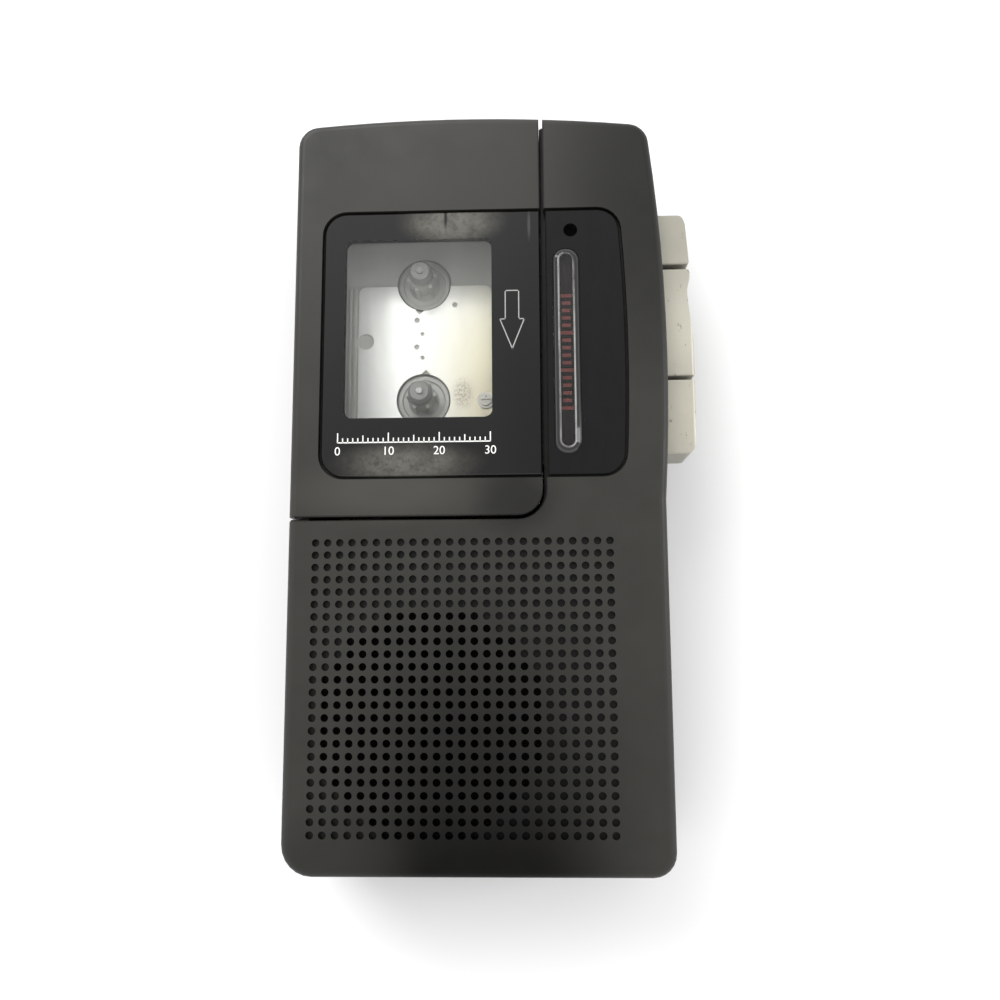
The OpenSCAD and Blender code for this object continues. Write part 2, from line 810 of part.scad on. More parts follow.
// Middle line of a coil along Z, and the least space left between its turns
function coil_line(r, turns, length, wire, per_turn = 10) = [for (i = [0 : turns * per_turn])
  let (a = 360 * i / per_turn)
  [r * cos(a), r * sin(a), wire + (length - 2 * wire) * i / (turns * per_turn)]];

function coil_space(line, wire, per_turn = 10) =
  min([for (i = [0 : len(line) - 1 - per_turn]) norm(line[i + per_turn] - line[i])]) - 2 * wire;

// One unbroken round wire wound into a coil along Z
module coil(r, turns, length, wire, per_turn = 10) {
  n = turns * per_turn;
  sides = 6;
  rise = length - 2 * wire;
  points = [for (i = [0 : n]) let (a = 360 * i / per_turn, z = wire + rise * i / n)
    for (k = [0 : sides - 1]) let (b = 360 * k / sides)
      [(r + wire * cos(b)) * cos(a), (r + wire * cos(b)) * sin(a), z + wire * sin(b)]];
  skin = [for (i = [0 : n - 1]) for (k = [0 : sides - 1])
    let (a = i * sides + k, b = i * sides + (k + 1) % sides)
    each [[a, b + sides, b], [a, a + sides, b + sides]]];
  first_end = [for (k = [0 : sides - 1]) k];
  last_end = [for (k = [sides - 1 : -1 : 0]) n * sides + k];
  polyhedron(points, concat([first_end], skin, [last_end]));
}

module key_spring(y) {
  color("#c2c4c6")
    translate([spring_x0, y, spring_z])
      rotate([0, 90, 0])
        coil(spring_r - wire_r, 6, spring_x1 - spring_x0, wire_r);
}

module record_key_spring() {
  key_spring((rec_y + keys_end) / 2);
}

module play_key_spring() {
  key_spring(play_y + play_len / 2);
}

module stop_key_spring() {
  key_spring(stop_y + stop_len / 2);
}

module key_bracket() {
  color("#a9abad")
    difference() {
      block([spring_x0 - bracket_t, carriage_y0 - 2.5, chassis_z1],
        [spring_x0, keys_end + 2.4, in_z - 3.2]);
      block([spring_x0 - 2, carriage_y0 - 0.5, chassis_z1 - 1],
        [spring_x0 + 1, carriage_y1 + 0.5, carriage_z1 + 0.5]);
    }
}

module battery_cover() {
  color("#30302e")
    difference() {
      intersection() {
        rear_shape();
        cover_profile(0);
      }
      for (i = [0 : 6])
        block([cover_x0 + 6, yb + 8 + i * 1.4, -1], [cover_x1 - 6, yb + 8.7 + i * 1.4, 0.35]);
    }
}

module cell(x, y, up) {
  translate([x, y + (up ? 0 : cell_l), cell_z])
    rotate([up ? -90 : 90, 0, 0])
      rotate_extrude()
        polygon([[0, 0], [cell_r - 1, 0], [cell_r - 1, 0.2], [cell_r - 0.5, 0.2], [cell_r, 0.7],
          [cell_r, cell_l - 2], [cell_r - 0.5, cell_l - 1.5], [2.6, cell_l - 1.5], [2.6, cell_l],
          [0, cell_l]]);
}

module battery_cells() {
  color("#8a8f94") {
    cell(cell_x1, bat_y0 + contact_t + spring_room, true);
    cell(cell_x2, bat_y0 + contact_t, false);
  }
}

echo(key_spring_space = coil_space(coil_line(spring_r - wire_r, 6, spring_x1 - spring_x0, wire_r), wire_r));
echo(battery_spring_space = coil_space(coil_line(2.6, 2, spring_room, 0.25), 0.25));

module battery_springs() {
  color("#c2c4c6") {
    translate([cell_x1, bat_y0 + contact_t, cell_z])
      rotate([-90, 0, 0])
        coil(2.6, 2, spring_room, 0.25);
    translate([cell_x2, bat_y1 - contact_t, cell_z])
      rotate([90, 0, 0])
        coil(2.6, 2, spring_room, 0.25);
  }
}

module battery_contacts() {
  color("#c2c4c6") {
    block([cell_x1 - 5, bat_y0, cell_z - 4.5], [cell_x2 + 5, bat_y0 + contact_t, cell_z + 4.5]);
    for (x = [cell_x1, cell_x2])
      block([x - 5, bat_y1 - contact_t, cell_z - 4.5], [x + 5, bat_y1 + cover_play, cell_z + 0.7]);
  }
}

module volume_wheel() {
  ridge = [for (i = [0 : 2 * vol_ridges - 1]) let (a = 180 * i / vol_ridges, r = vol_r - (i % 2) * 0.25)
    r * [cos(a), sin(a)]];
  color("#1e1e1e")
    translate([vol_x, vol_y, 0]) {
      slab(ridge, vol_z0, vol_z1);
      rod(0, 0, vol_z0 - 2.4, vol_z0 + eps, 1.5);
    }
}

module volume_pot() {
  color("#4a4032")
    difference() {
      rod(vol_x, vol_y, board_z1, vol_z0 - 0.3, 5.6);
      rod(vol_x, vol_y, vol_z0 - 2.5, vol_z0 + 1, 1.55);
    }
}

module speed_knob() {
  color("#1e1e1e")
    difference() {
      union() {
        block([xr - 3.2, speed_y - 2, speed_z - 0.9], [xr + 0.5, speed_y + 2, speed_z + 0.9]);
        block([xr - 3.2, speed_y - 2, speed_z - 0.9], [xr - 2, speed_y + 2, speed_z + 1.5]);
      }
      for (i = [-1 : 1])
        block([xr + 0.25, speed_y + i - 0.2, speed_z - 2], [xr + 1, speed_y + i + 0.2, speed_z + 2]);
    }
}

module speed_switch() {
  color("#8d9092")
    difference() {
      block([xr - 7.4, speed_y - 3.6, board_z1], [xr - 2.6, speed_y + 3.6 + speed_travel, speed_z + 2.6]);
      block([xr - 3.3, speed_y - 2.2, speed_z - 1], [xr, speed_y + 2.2 + speed_travel, speed_z + 1.6]);
    }
}

module screw(x, y, z0, z1) {
  difference() {
    union() {
      rod(x, y, z0, z0 + 1.2, screw_head);
      rod(x, y, z0 + 1, z1, screw_r);
    }
    block([x - 1, y - 0.18, z0 - 1], [x + 1, y + 0.18, z0 + 0.6]);
    block([x - 0.18, y - 1, z0 - 1], [x + 0.18, y + 1, z0 + 0.6]);
  }
}

module case_screws() {
  color("#5a5a5c") {
    for (p = front_screws)
      screw(p.x, p.y, 0.7, split_z + 7);
    screw(deck_boss.x, deck_boss.y, 0.7, frame_z0 - 0.2);
  }
}

module chassis_screws() {
  color("#b8babc")
    for (p = posts)
      translate([0, 0, 2 * chassis_z1])
        mirror([0, 0, 1])
          screw(p.x, p.y, chassis_z1 - 1.2, chassis_z1 + 4);
}

// Jack: body on the circuit board, nose in the parting line, blind bore
module jack(x, y_end, side) {
  nose = 2.6;
  depth = 8.1;
  difference() {
    union() {
      block([x - 2.5, min(y_end - side * (nose + depth), y_end - side * nose), board_z1],
        [x + 2.5, max(y_end - side * (nose + depth), y_end - side * nose), split_z + 3]);
      rod_y(x, split_z, min(y_end, y_end - side * nose), max(y_end, y_end - side * nose), jack_nose);
    }
    rod_y(x, split_z, min(y_end + side, y_end - side * depth),
      max(y_end + side, y_end - side * depth), jack_r);
  }
}

function arch_y(x, d) = arch_c.y + sqrt(pow(arch_r - d, 2) - pow(x - arch_c.x, 2));

module earphone_jack() {
  color("#1a1a1a")
    jack(jack_x1, arch_y(jack_x1 + 3, 0.2), 1);
}

module mic_jack() {
  color("#1a1a1a")
    jack(jack_x2, arch_y(jack_x2 + 3, 0.2), 1);
}

module power_jack() {
  color("#1a1a1a")
    jack(power_x, yb + 0.3, -1);
}

module microphone() {
  color("#9a9c9e")
    rod(mic_x, mic_y, in_z - 2.9, in_z - 0.1, mic_r);
}

module mic_boot() {
  color("#1a1a1a")
    difference() {
      rod(mic_x, mic_y, in_z - 2.4, in_z, mic_r + 0.4);
      rod(mic_x, mic_y, in_z - 5, in_z + 1, mic_r);
    }
}

module speaker_frame() {
  r = speaker_r;
  t = speaker_t;
  color("#2c2d2e")
    translate([speaker_x, speaker_y, in_z])
      rotate_extrude()
        polygon([[0, -t], [0.45 * r, -t], [0.45 * r, -0.72 * t], [0.55 * r, -0.64 * t], [r - 2, -0.38 * t],
          [r, -0.38 * t], [r, -0.02 * t], [r - 1.4, -0.02 * t], [r - 1.4, -0.18 * t], [r - 2.4, -0.26 * t],
          [0.52 * r, -0.52 * t], [0.33 * r, -0.6 * t], [0, -0.6 * t]]);
}

module speaker_cone() {
  r = speaker_r - 1.4 - snug;
  t = speaker_t;
  color("#2a2622")
    translate([speaker_x, speaker_y, in_z])
      rotate_extrude()
        polygon([[0, -0.46 * t], [0.2 * r, -0.56 * t], [r - 2.6, -0.18 * t], [r, -0.176 * t], [r, -0.1 * t],
          [r - 1.4, -0.04 * t], [r - 2.6, -0.1 * t], [0.22 * r, -0.46 * t], [0, -0.3 * t]]);
}

module main_board() {
  color("#2f5a3a")
    difference() {
      union() {
        block([bay_x0, chassis_y0, board_z0], [chassis_x1 - 1, yt - 6, board_z1]);
        block([front_screws[1].x + 2.6, yb + wall + 1, board_z0],
          [chassis_x1 - 1.6, chassis_y0 + eps, board_z1]);
      }
      for (p = concat(front_screws, [deck_boss]))
        rod(p.x, p.y, board_z0 - 1, board_z1 + 1, boss_r + 0.2);
      for (p = posts)
        rod(p.x, p.y, board_z0 - 1, board_z1 + 1, post_r + slack);
    }
}

module board_parts() {
  color("#222222") {
    for (p = [[8, 1.7], [8, 11.8], [30, 8.8], [40, 5.8]])
      translate([bay_x0 + p.x, reel_mid + p.y, board_z1])
        translate([-3.5, -2.6, 0])
          cube([7, 5.2, 1.4]);
    for (p = [[4, -8.8], [10, -8.8], [18, 21.2], [24, 21.2], [30, 21.2]])
      rod(bay_x0 + p.x, reel_mid + p.y, board_z1, board_z1 + 4.6, 2);
    for (i = [0 : 5])
      translate([bay_x0 + 6 + 3 * i, reel_mid - 16.8, board_z1])
        cube([1.2, 2, 0.7]);
  }
}

module deck_chassis() {
  arm_x0 = front_screws[1].x + 4.4;
  color("#4c4e50")
    difference() {
      union() {
        block([bay_x0, chassis_y0, chassis_z0], [bay_x1 + 1.5, bay_y1 + bay_wall, chassis_z1]);
        block([bay_x1, motor_y - motor_r - 0.4, chassis_z0], [chassis_x1, keys_end + 2.6, chassis_z1]);
        block([xr - 5.6, keys_end, chassis_z0], [xr - 2.4, keys_end + 3.8, chassis_z1]);
        for (y = [cap_y + 7.4, supply_y + 1.6])
          rod(guide_x, y, chassis_z0, carriage_z1 + 0.4, guide_r);
      }
      block([bay_x1 - 1, motor_y - 12, chassis_z0 - 1], [arm_x0, chassis_y0, chassis_z1 + 1]);
      rod(front_screws[2].x, front_screws[2].y, chassis_z0 - 1, chassis_z1 + 1, boss_r + 0.2);
      rod(deck_boss.x, deck_boss.y, chassis_z0 - 1, chassis_z1 + 1, screw_hole);
      for (p = posts)
        rod(p.x, p.y, chassis_z0 - 1, chassis_z1 + 1, screw_hole);
      for (y = [takeup_y, supply_y])
        rod(reel_x, y, chassis_z0 - 1, chassis_z1 + 1, shaft_r);
      rod(idler_at.x, idler_at.y, chassis_z0 - 1, chassis_z1 + 1, shaft_r);
      rod(cap_x, cap_y, chassis_z0 - 1, chassis_z1 + 1, cap_r + 0.9);
      rod(motor_x, motor_y, chassis_z0 - 1, chassis_z1 + 1, 2.6);
    }
}

module deck_frame() {
  color("#8f8e8a")
    difference() {
      union() {
        block([bay_x0, bay_y0, frame_z0], [bay_x1, bay_y1, frame_z1]);
        block([bay_x0, bay_y1 - eps, chassis_z1], [bay_x1, bay_y1 + bay_wall, in_z - 3]);
        block([bay_x0, bay_y0 - bay_wall, chassis_z1], [bay_x1, bay_y0 + eps, in_z - 3]);
        block([bay_x0, bay_y0, chassis_z1], [bay_x0 + 1, bay_y1, frame_z0 + eps]);
        rod(deck_boss.x, deck_boss.y, chassis_z1, frame_z0 + eps, boss_r);
        for (i = [0, 1])
          block([win_x0 - 1.4 + 0.7 * i, bay_y0 + 1, frame_z1 - eps],
            [win_x0 - 1.1 + 0.7 * i, supply_y - 0.5, deck_z + 0.2]);
      }
      for (y = [takeup_y, supply_y])
        rod(reel_x, y, frame_z0 - 1, frame_z1 + 1, reel_hole + 0.1);
      rod(cap_x, cap_y, frame_z0 - 1, frame_z1 + 1, 2);
      block([cap_x, cap_y - 2, frame_z0 - 1], [bay_x1 + 1, cap_y + 2, frame_z1 + 1]);
      rod(deck_boss.x, deck_boss.y, chassis_z1 - 1, frame_z0, screw_r);
      rod(posts[0].x, posts[0].y, chassis_z1 - 1, chassis_z1 + 1.2, screw_head + 0.2);
      rod(deck_screw_at.x, deck_screw_at.y, frame_z0 - 1, frame_z1 + 1, 0.6);
    }
}

// Screw that holds the bright plate
deck_screw_at = [win_x1 - 1.45, reel_mid - 10.2];

module deck_plate() {
  x0 = win_x0 + 0.1;
  x1 = win_x1 - 0.45;
  y1 = supply_y - 0.25;
  holes = [[5.2, 6.4, 0.45], [-9.75, 0.2, 1.35], [-1.15, 3.8, 0.45], [-0.25, 1.4, 0.35],
    [-1.2, -0.85, 0.45], [-0.2, -2.7, 0.35]];
  notches = [[-0.75, 1], [0.35, -1]];
  rim = concat([[x0, bay_y0 + 0.2], [bay_x1 - 0.4, bay_y0 + 0.2], [bay_x1 - 0.4, y1 - 12], [x1, y1 - 10]],
    arc([x1 - 1.2, y1 - 1.2], 1.2, 0, 90, 6), arc([x0 + 1.2, y1 - 1.2], 1.2, 90, 180, 6));
  color("#d9dadb")
    difference() {
      slab(rim, frame_z1, deck_z);
      for (y = [takeup_y, supply_y])
        rod(reel_x, y, frame_z1 - 1, deck_z + 1, reel_hole);
      for (s = notches)
        translate([reel_x + s[0], reel_mid + s[1] * (reel_gap / 2 - reel_hole), frame_z1 - 1])
          rotate([0, 0, 45])
            translate([-0.5, -0.5, 0])
              cube([1, 1, 3]);
      for (h = holes)
        rod(reel_x + h[0], reel_mid + h[1], frame_z1 - 1, deck_z + 1, h[2]);
      rod(cap_x, cap_y, frame_z1 - 1, deck_z + 1, 2);
      block([cap_x, cap_y - 2, frame_z1 - 1], [bay_x1 + 1, cap_y + 2, deck_z + 1]);
      rod(deck_screw_at.x, deck_screw_at.y, frame_z1 - 1, deck_z + 1, 0.7);
    }
}

module deck_screw() {
  color("#c2c4c6")
    difference() {
      union() {
        rod(deck_screw_at.x, deck_screw_at.y, deck_z, deck_z + 0.25, 1.35);
        rod(deck_screw_at.x, deck_screw_at.y, deck_z + 0.2, deck_z + 0.65, 0.9);
        rod(deck_screw_at.x, deck_screw_at.y, frame_z0 + 0.1, deck_z + eps, 0.6);
      }
      block([deck_screw_at.x - 0.7, deck_screw_at.y - 0.13, deck_z + 0.3],
        [deck_screw_at.x + 0.7, deck_screw_at.y + 0.13, deck_z + 1]);
      block([deck_screw_at.x - 0.13, deck_screw_at.y - 0.7, deck_z + 0.3],
        [deck_screw_at.x + 0.13, deck_screw_at.y + 0.7, deck_z + 1]);
    }
}

// Involute gear outline, one tooth on the X axis
function involute(base, r) = sqrt(r * r / (base * base) - 1) * 180 / PI - acos(base / r);

function polar(r, a) = r * [cos(a), sin(a)];

function gear_points(teeth) =
  let (p = module_mm * teeth / 2, base = p * cos(20))
  let (tip = p + 0.8 * module_mm, root = p - 1.1 * module_mm, foot = max(base, root) + 0.005)
  let (half = 90 / teeth - backlash * 45 / (PI * p) + involute(base, p))
  [for (k = [0 : teeth - 1]) let (mid = 360 * k / teeth)
    each concat(
      [polar(root, mid - half)],
      [for (i = [0 : 3]) let (r = foot + (tip - foot) * i / 3) polar(r, mid - half + involute(base, r))],
      [for (i = [3 : -1 : 0]) let (r = foot + (tip - foot) * i / 3) polar(r, mid + half - involute(base, r))],
      [polar(root, mid + half)]
    )];

module gear(teeth, z0, z1) {
  slab(gear_points(teeth), z0, z1);
}

module reel(y, turn) {
  z0 = gear_z0;
  z1 = gear_z1;
  top = in_z - 3.6;
  color("#77787a")
    translate([reel_x, y, 0])
      difference() {
        union() {
          rotate([0, 0, turn])
            gear(reel_teeth, z0, z1);
          rotate_extrude()
            polygon([[0, z0], [4.2, z0], [4.2, deck_z - 0.6], [3.6, deck_z - 0.6], [3.4, deck_z - 1],
              [2.6, deck_z - 1], [hub_r + 0.3, deck_z - 0.4], [hub_r, deck_z], [hub_r, top],
              [hub_r - 0.5, top + 0.8], [0, top + 0.8]]);
          for (i = [0 : 5])
            rotate([0, 0, turn + 60 * i])
              block([hub_r - 0.4, -0.3, deck_z - 0.9], [hub_r + 0.5, 0.3, deck_z + 3.6]);
        }
        rod(0, 0, z0 - 1, top + 2, shaft_r + 0.05);
      }
}

module supply_reel() {
  reel(supply_y, 10);
}

module takeup_reel() {
  reel(takeup_y, turn_3);
}

module reel_shafts() {
  color("#d0d2d4")
    for (y = [takeup_y, supply_y])
      rod(reel_x, y, chassis_z0 - 0.4, in_z - 2.5, shaft_r);
}

module flywheel() {
  rim = fly_r - 3;
  color("#a8a18e")
    translate([cap_x, cap_y, 0])
      rotate_extrude()
        polygon([[cap_r, fly_z0 - 0.6], [2.4, fly_z0 - 0.6], [2.4, fly_z0 + 0.8], [rim, fly_z0 + 0.8],
          [rim, fly_z0], [fly_r, fly_z0], [fly_r, fly_z0 + 0.5], [belt_r, fly_z0 + 0.8],
          [belt_r, fly_z1 - 0.8],
          [fly_r, fly_z1 - 0.5], [fly_r, fly_z1], [rim, fly_z1], [rim, fly_z1 - 0.8], [2.4, fly_z1 - 0.8],
          [2.4, fly_z1], [cap_r, fly_z1]]);
}

module capstan() {
  color("#d0d2d4")
    rod(cap_x, cap_y, fly_z0 - 0.8, in_z - 1.8, cap_r);
}

module capstan_bush() {
  color("#b08d57")
    difference() {
      union() {
        rod(cap_x, cap_y, chassis_z0 - 0.6, chassis_z0, cap_r + 1.6);
        rod(cap_x, cap_y, chassis_z0 - 0.1, chassis_z1, cap_r + 0.9);
      }
      rod(cap_x, cap_y, chassis_z0 - 2, chassis_z1 + 1, cap_r + 0.04);
    }
}

module drive_pinion() {
  color("#e6e2d6")
    difference() {
      translate([cap_x, cap_y, 0])
        rotate([0, 0, turn_1])
          gear(pinion_teeth, gear_z0, gear_z1);
      rod(cap_x, cap_y, gear_z0 - 1, gear_z1 + 1, cap_r);
    }
}

module idler_gear() {
  color("#e6e2d6")
    difference() {
      translate([idler_at.x, idler_at.y, 0])
        rotate([0, 0, turn_2])
          gear(idler_teeth, gear_z0, gear_z1);
      rod(idler_at.x, idler_at.y, gear_z0 - 1, gear_z1 + 1, shaft_r + 0.05);
    }
}

module idler_shaft() {
  color("#d0d2d4")
    rod(idler_at.x, idler_at.y, chassis_z0 - 0.4, gear_z1 + 0.2, shaft_r);
}

module motor() {
  top = motor_top;
  color("#b9bbbd")
    translate([motor_x, motor_y, 0])
      rotate_extrude()
        polygon([[0.9, chassis_z1 - 0.9], [2.5, chassis_z1 - 0.9], [2.5, chassis_z1], [motor_r, chassis_z1],
          [motor_r, top - 0.8], [motor_r - 0.8, top], [0, top], [0, top - 4], [0.9, top - 4]]);
}

module motor_pulley() {
  edge = pulley_r + 1;
  color("#c8b070")
    translate([motor_x, motor_y, 0])
      rotate_extrude()
        polygon([[0, fly_z0], [edge, fly_z0], [edge, fly_z0 + 0.5], [pulley_r, fly_z0 + 0.8],
          [pulley_r, fly_z1 - 0.8], [edge, fly_z1 - 0.5], [edge, fly_z1], [0.8, fly_z1],
          [0.8, motor_top - 5.8], [0, motor_top - 5.8]]);
}

// Belt loop around both wheels: two arcs joined by their outer tangents
function belt_loop(grow) =
  let (a = [cap_x, cap_y], b = [motor_x, motor_y], ra = belt_r + grow, rb = pulley_r + grow)
  let (dir = heading(a, b), lean_in = acos((ra - rb) / norm(b - a)))
  concat(arc(a, ra, dir + lean_in, dir + 360 - lean_in, 40), arc(b, rb, dir - lean_in, dir + lean_in, 16));

module drive_belt() {
  color("#1a1a1a")
    difference() {
      slab(belt_loop(belt_play + belt_w), fly_z0 + 0.85, fly_z1 - 0.85);
      slab(belt_loop(belt_play), fly_z0, fly_z1);
    }
}

module head_carriage() {
  tab_y = play_y + 5.6;
  color("#a9abad")
    difference() {
      union() {
        block([head_x + 0.4, carriage_y0, carriage_z0], [carriage_x1, carriage_y1, carriage_z1]);
        block([carriage_x1 - 1.1, tab_y, carriage_z0], [carriage_x1, tab_y + 6, spring_z - 1.4]);
        block([head_x + 1.8, reel_mid - 2.6, carriage_z1 - eps],
          [head_x + 4.4, reel_mid + 2.6, deck_z + 0.4]);
        block([head_x + 1.8, reel_mid + 6.3, carriage_z1 - eps],
          [head_x + 3.8, reel_mid + 8.9, deck_z + 0.4]);
        rod(pivot_x, pivot_y, carriage_z1 - eps, carriage_z1 + 1.6, 0.9);
      }
      block([head_x, cap_y - 4.4, carriage_z0 - 1], [cap_x + 6, cap_y + 4.4, carriage_z1 + 1]);
      for (y = [cap_y + 7.4, supply_y + 1.6])
        block([guide_x - guide_r - slack, y - guide_r - slack, carriage_z0 - 1],
          [guide_x + guide_r + key_travel + 0.3, y + guide_r + slack, carriage_z1 + 1]);
    }
}

module play_head() {
  color("#c9cbcc")
    difference() {
      union() {
        block([head_x + 1, reel_mid - 3.2, deck_z + 0.4], [head_x + 4.8, reel_mid + 3.2, in_z - 2.4]);
        intersection() {
          block([head_x, reel_mid - 2.6, deck_z + 0.4], [head_x + 2, reel_mid + 2.6, in_z - 2.4]);
          rod(head_x + 6, reel_mid, deck_z, in_z - 2, 6);
        }
      }
      block([head_x - 1, reel_mid - 0.15, deck_z + 2.4], [head_x + 0.3, reel_mid + 0.15, deck_z + 4.8]);
    }
}

module erase_head() {
  color("#3a3a3c")
    block([head_x + 0.6, reel_mid + 6, deck_z + 0.4], [head_x + 4, reel_mid + 9.2, in_z - 3.2]);
}

module pinch_arm() {
  z0 = carriage_z1 + 0.2;
  z1 = z0 + 1;
  far_r = 1.3;
  color("#a9abad")
    difference() {
      union() {
        rod(pivot_x, pivot_y, z0, z1, 1.7);
        rod(roller_x, cap_y, z0, z1, far_r);
        slab([[roller_x - 0.8, cap_y - 0.8], [pivot_x - 0.8, pivot_y - 0.8],
          [pivot_x + 0.8, pivot_y + 0.8], [roller_x + 0.8, cap_y + 0.8]], z0, z1);
      }
      rod(pivot_x, pivot_y, z0 - 1, z1 + 1, 0.95);
      rod(roller_x, cap_y, z0 - 1, z1 + 1, 0.6);
    }
}

module pinch_axle() {
  color("#d0d2d4")
    rod(roller_x, cap_y, carriage_z1 + 0.2, in_z - 2.2, 0.6);
}

module pinch_roller() {
  color("#1c1c1c")
    difference() {
      rod(roller_x, cap_y, deck_z + 0.3, in_z - 2.8, roller_r);
      rod(roller_x, cap_y, deck_z - 1, in_z, 0.65);
    }
}

module placed() {
  translate([body_shift, 0, 0])
    children();
}

placed() front_case();
placed() speaker_grille();
placed() rear_case();
placed() cassette_lid();
placed() lid_window();
placed() lid_mask();
placed() lid_hinge_pin();
placed() control_panel();
placed() lamp_bar();
placed() lamp_strip();
placed() record_lamp();
placed() record_key();
placed() play_key();
placed() stop_key();
placed() record_key_spring();
placed() play_key_spring();
placed() stop_key_spring();
placed() key_bracket();
placed() battery_cover();
placed() battery_cells();
placed() battery_springs();
placed() battery_contacts();
placed() volume_wheel();
placed() volume_pot();
placed() speed_knob();
placed() speed_switch();
placed() case_screws();
placed() chassis_screws();
placed() earphone_jack();
placed() mic_jack();
placed() power_jack();
placed() microphone();
placed() mic_boot();
placed() speaker_frame();
placed() speaker_cone();
placed() main_board();
placed() board_parts();
placed() deck_chassis();
placed() deck_frame();
placed() deck_plate();
placed() deck_screw();
placed() supply_reel();
placed() takeup_reel();
placed() reel_shafts();
placed() flywheel();
placed() capstan();
placed() capstan_bush();
placed() drive_pinion();
placed() idler_gear();
placed() idler_shaft();
placed() motor();
placed() motor_pulley();
placed() drive_belt();
placed() head_carriage();
placed() play_head();
placed() erase_head();
placed() pinch_arm();
placed() pinch_axle();
placed() pinch_roller();
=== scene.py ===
"""Looks of a handheld microcassette recorder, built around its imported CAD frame. Lengths in metres."""

import json
import math

import bmesh
import bpy
from mathutils import Matrix, Vector


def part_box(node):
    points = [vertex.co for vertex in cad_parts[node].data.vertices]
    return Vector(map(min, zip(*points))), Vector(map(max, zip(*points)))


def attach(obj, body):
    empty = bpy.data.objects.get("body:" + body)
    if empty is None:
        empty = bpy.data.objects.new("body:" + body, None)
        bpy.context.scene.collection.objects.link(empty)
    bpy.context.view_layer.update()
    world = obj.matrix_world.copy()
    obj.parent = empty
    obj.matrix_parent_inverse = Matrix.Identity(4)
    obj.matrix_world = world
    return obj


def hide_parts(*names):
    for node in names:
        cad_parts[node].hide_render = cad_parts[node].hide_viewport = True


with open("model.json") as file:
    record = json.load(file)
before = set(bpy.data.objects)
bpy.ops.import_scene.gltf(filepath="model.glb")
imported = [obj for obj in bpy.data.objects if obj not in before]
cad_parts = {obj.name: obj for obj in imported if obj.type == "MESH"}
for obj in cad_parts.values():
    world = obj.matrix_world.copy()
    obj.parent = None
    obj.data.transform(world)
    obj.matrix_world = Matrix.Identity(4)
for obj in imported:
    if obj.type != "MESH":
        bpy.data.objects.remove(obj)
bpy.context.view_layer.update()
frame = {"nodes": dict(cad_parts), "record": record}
nodes = frame["nodes"]
MM = 0.001


# Shader helpers


def shade(color, share):
    """A share of a colour, kept at or under full white."""
    return tuple(min(1.0, c * share) for c in color)


def set_range(node, low, high, from_value, to_value):
    """Makes a Map Range node run smoothly from from_value at low to to_value at high."""
    node.interpolation_type = "SMOOTHSTEP"
    ends = {"From Min": low, "From Max": high, "To Min": from_value, "To Max": to_value}
    for key, value in ends.items():
        node.inputs[key].default_value = value


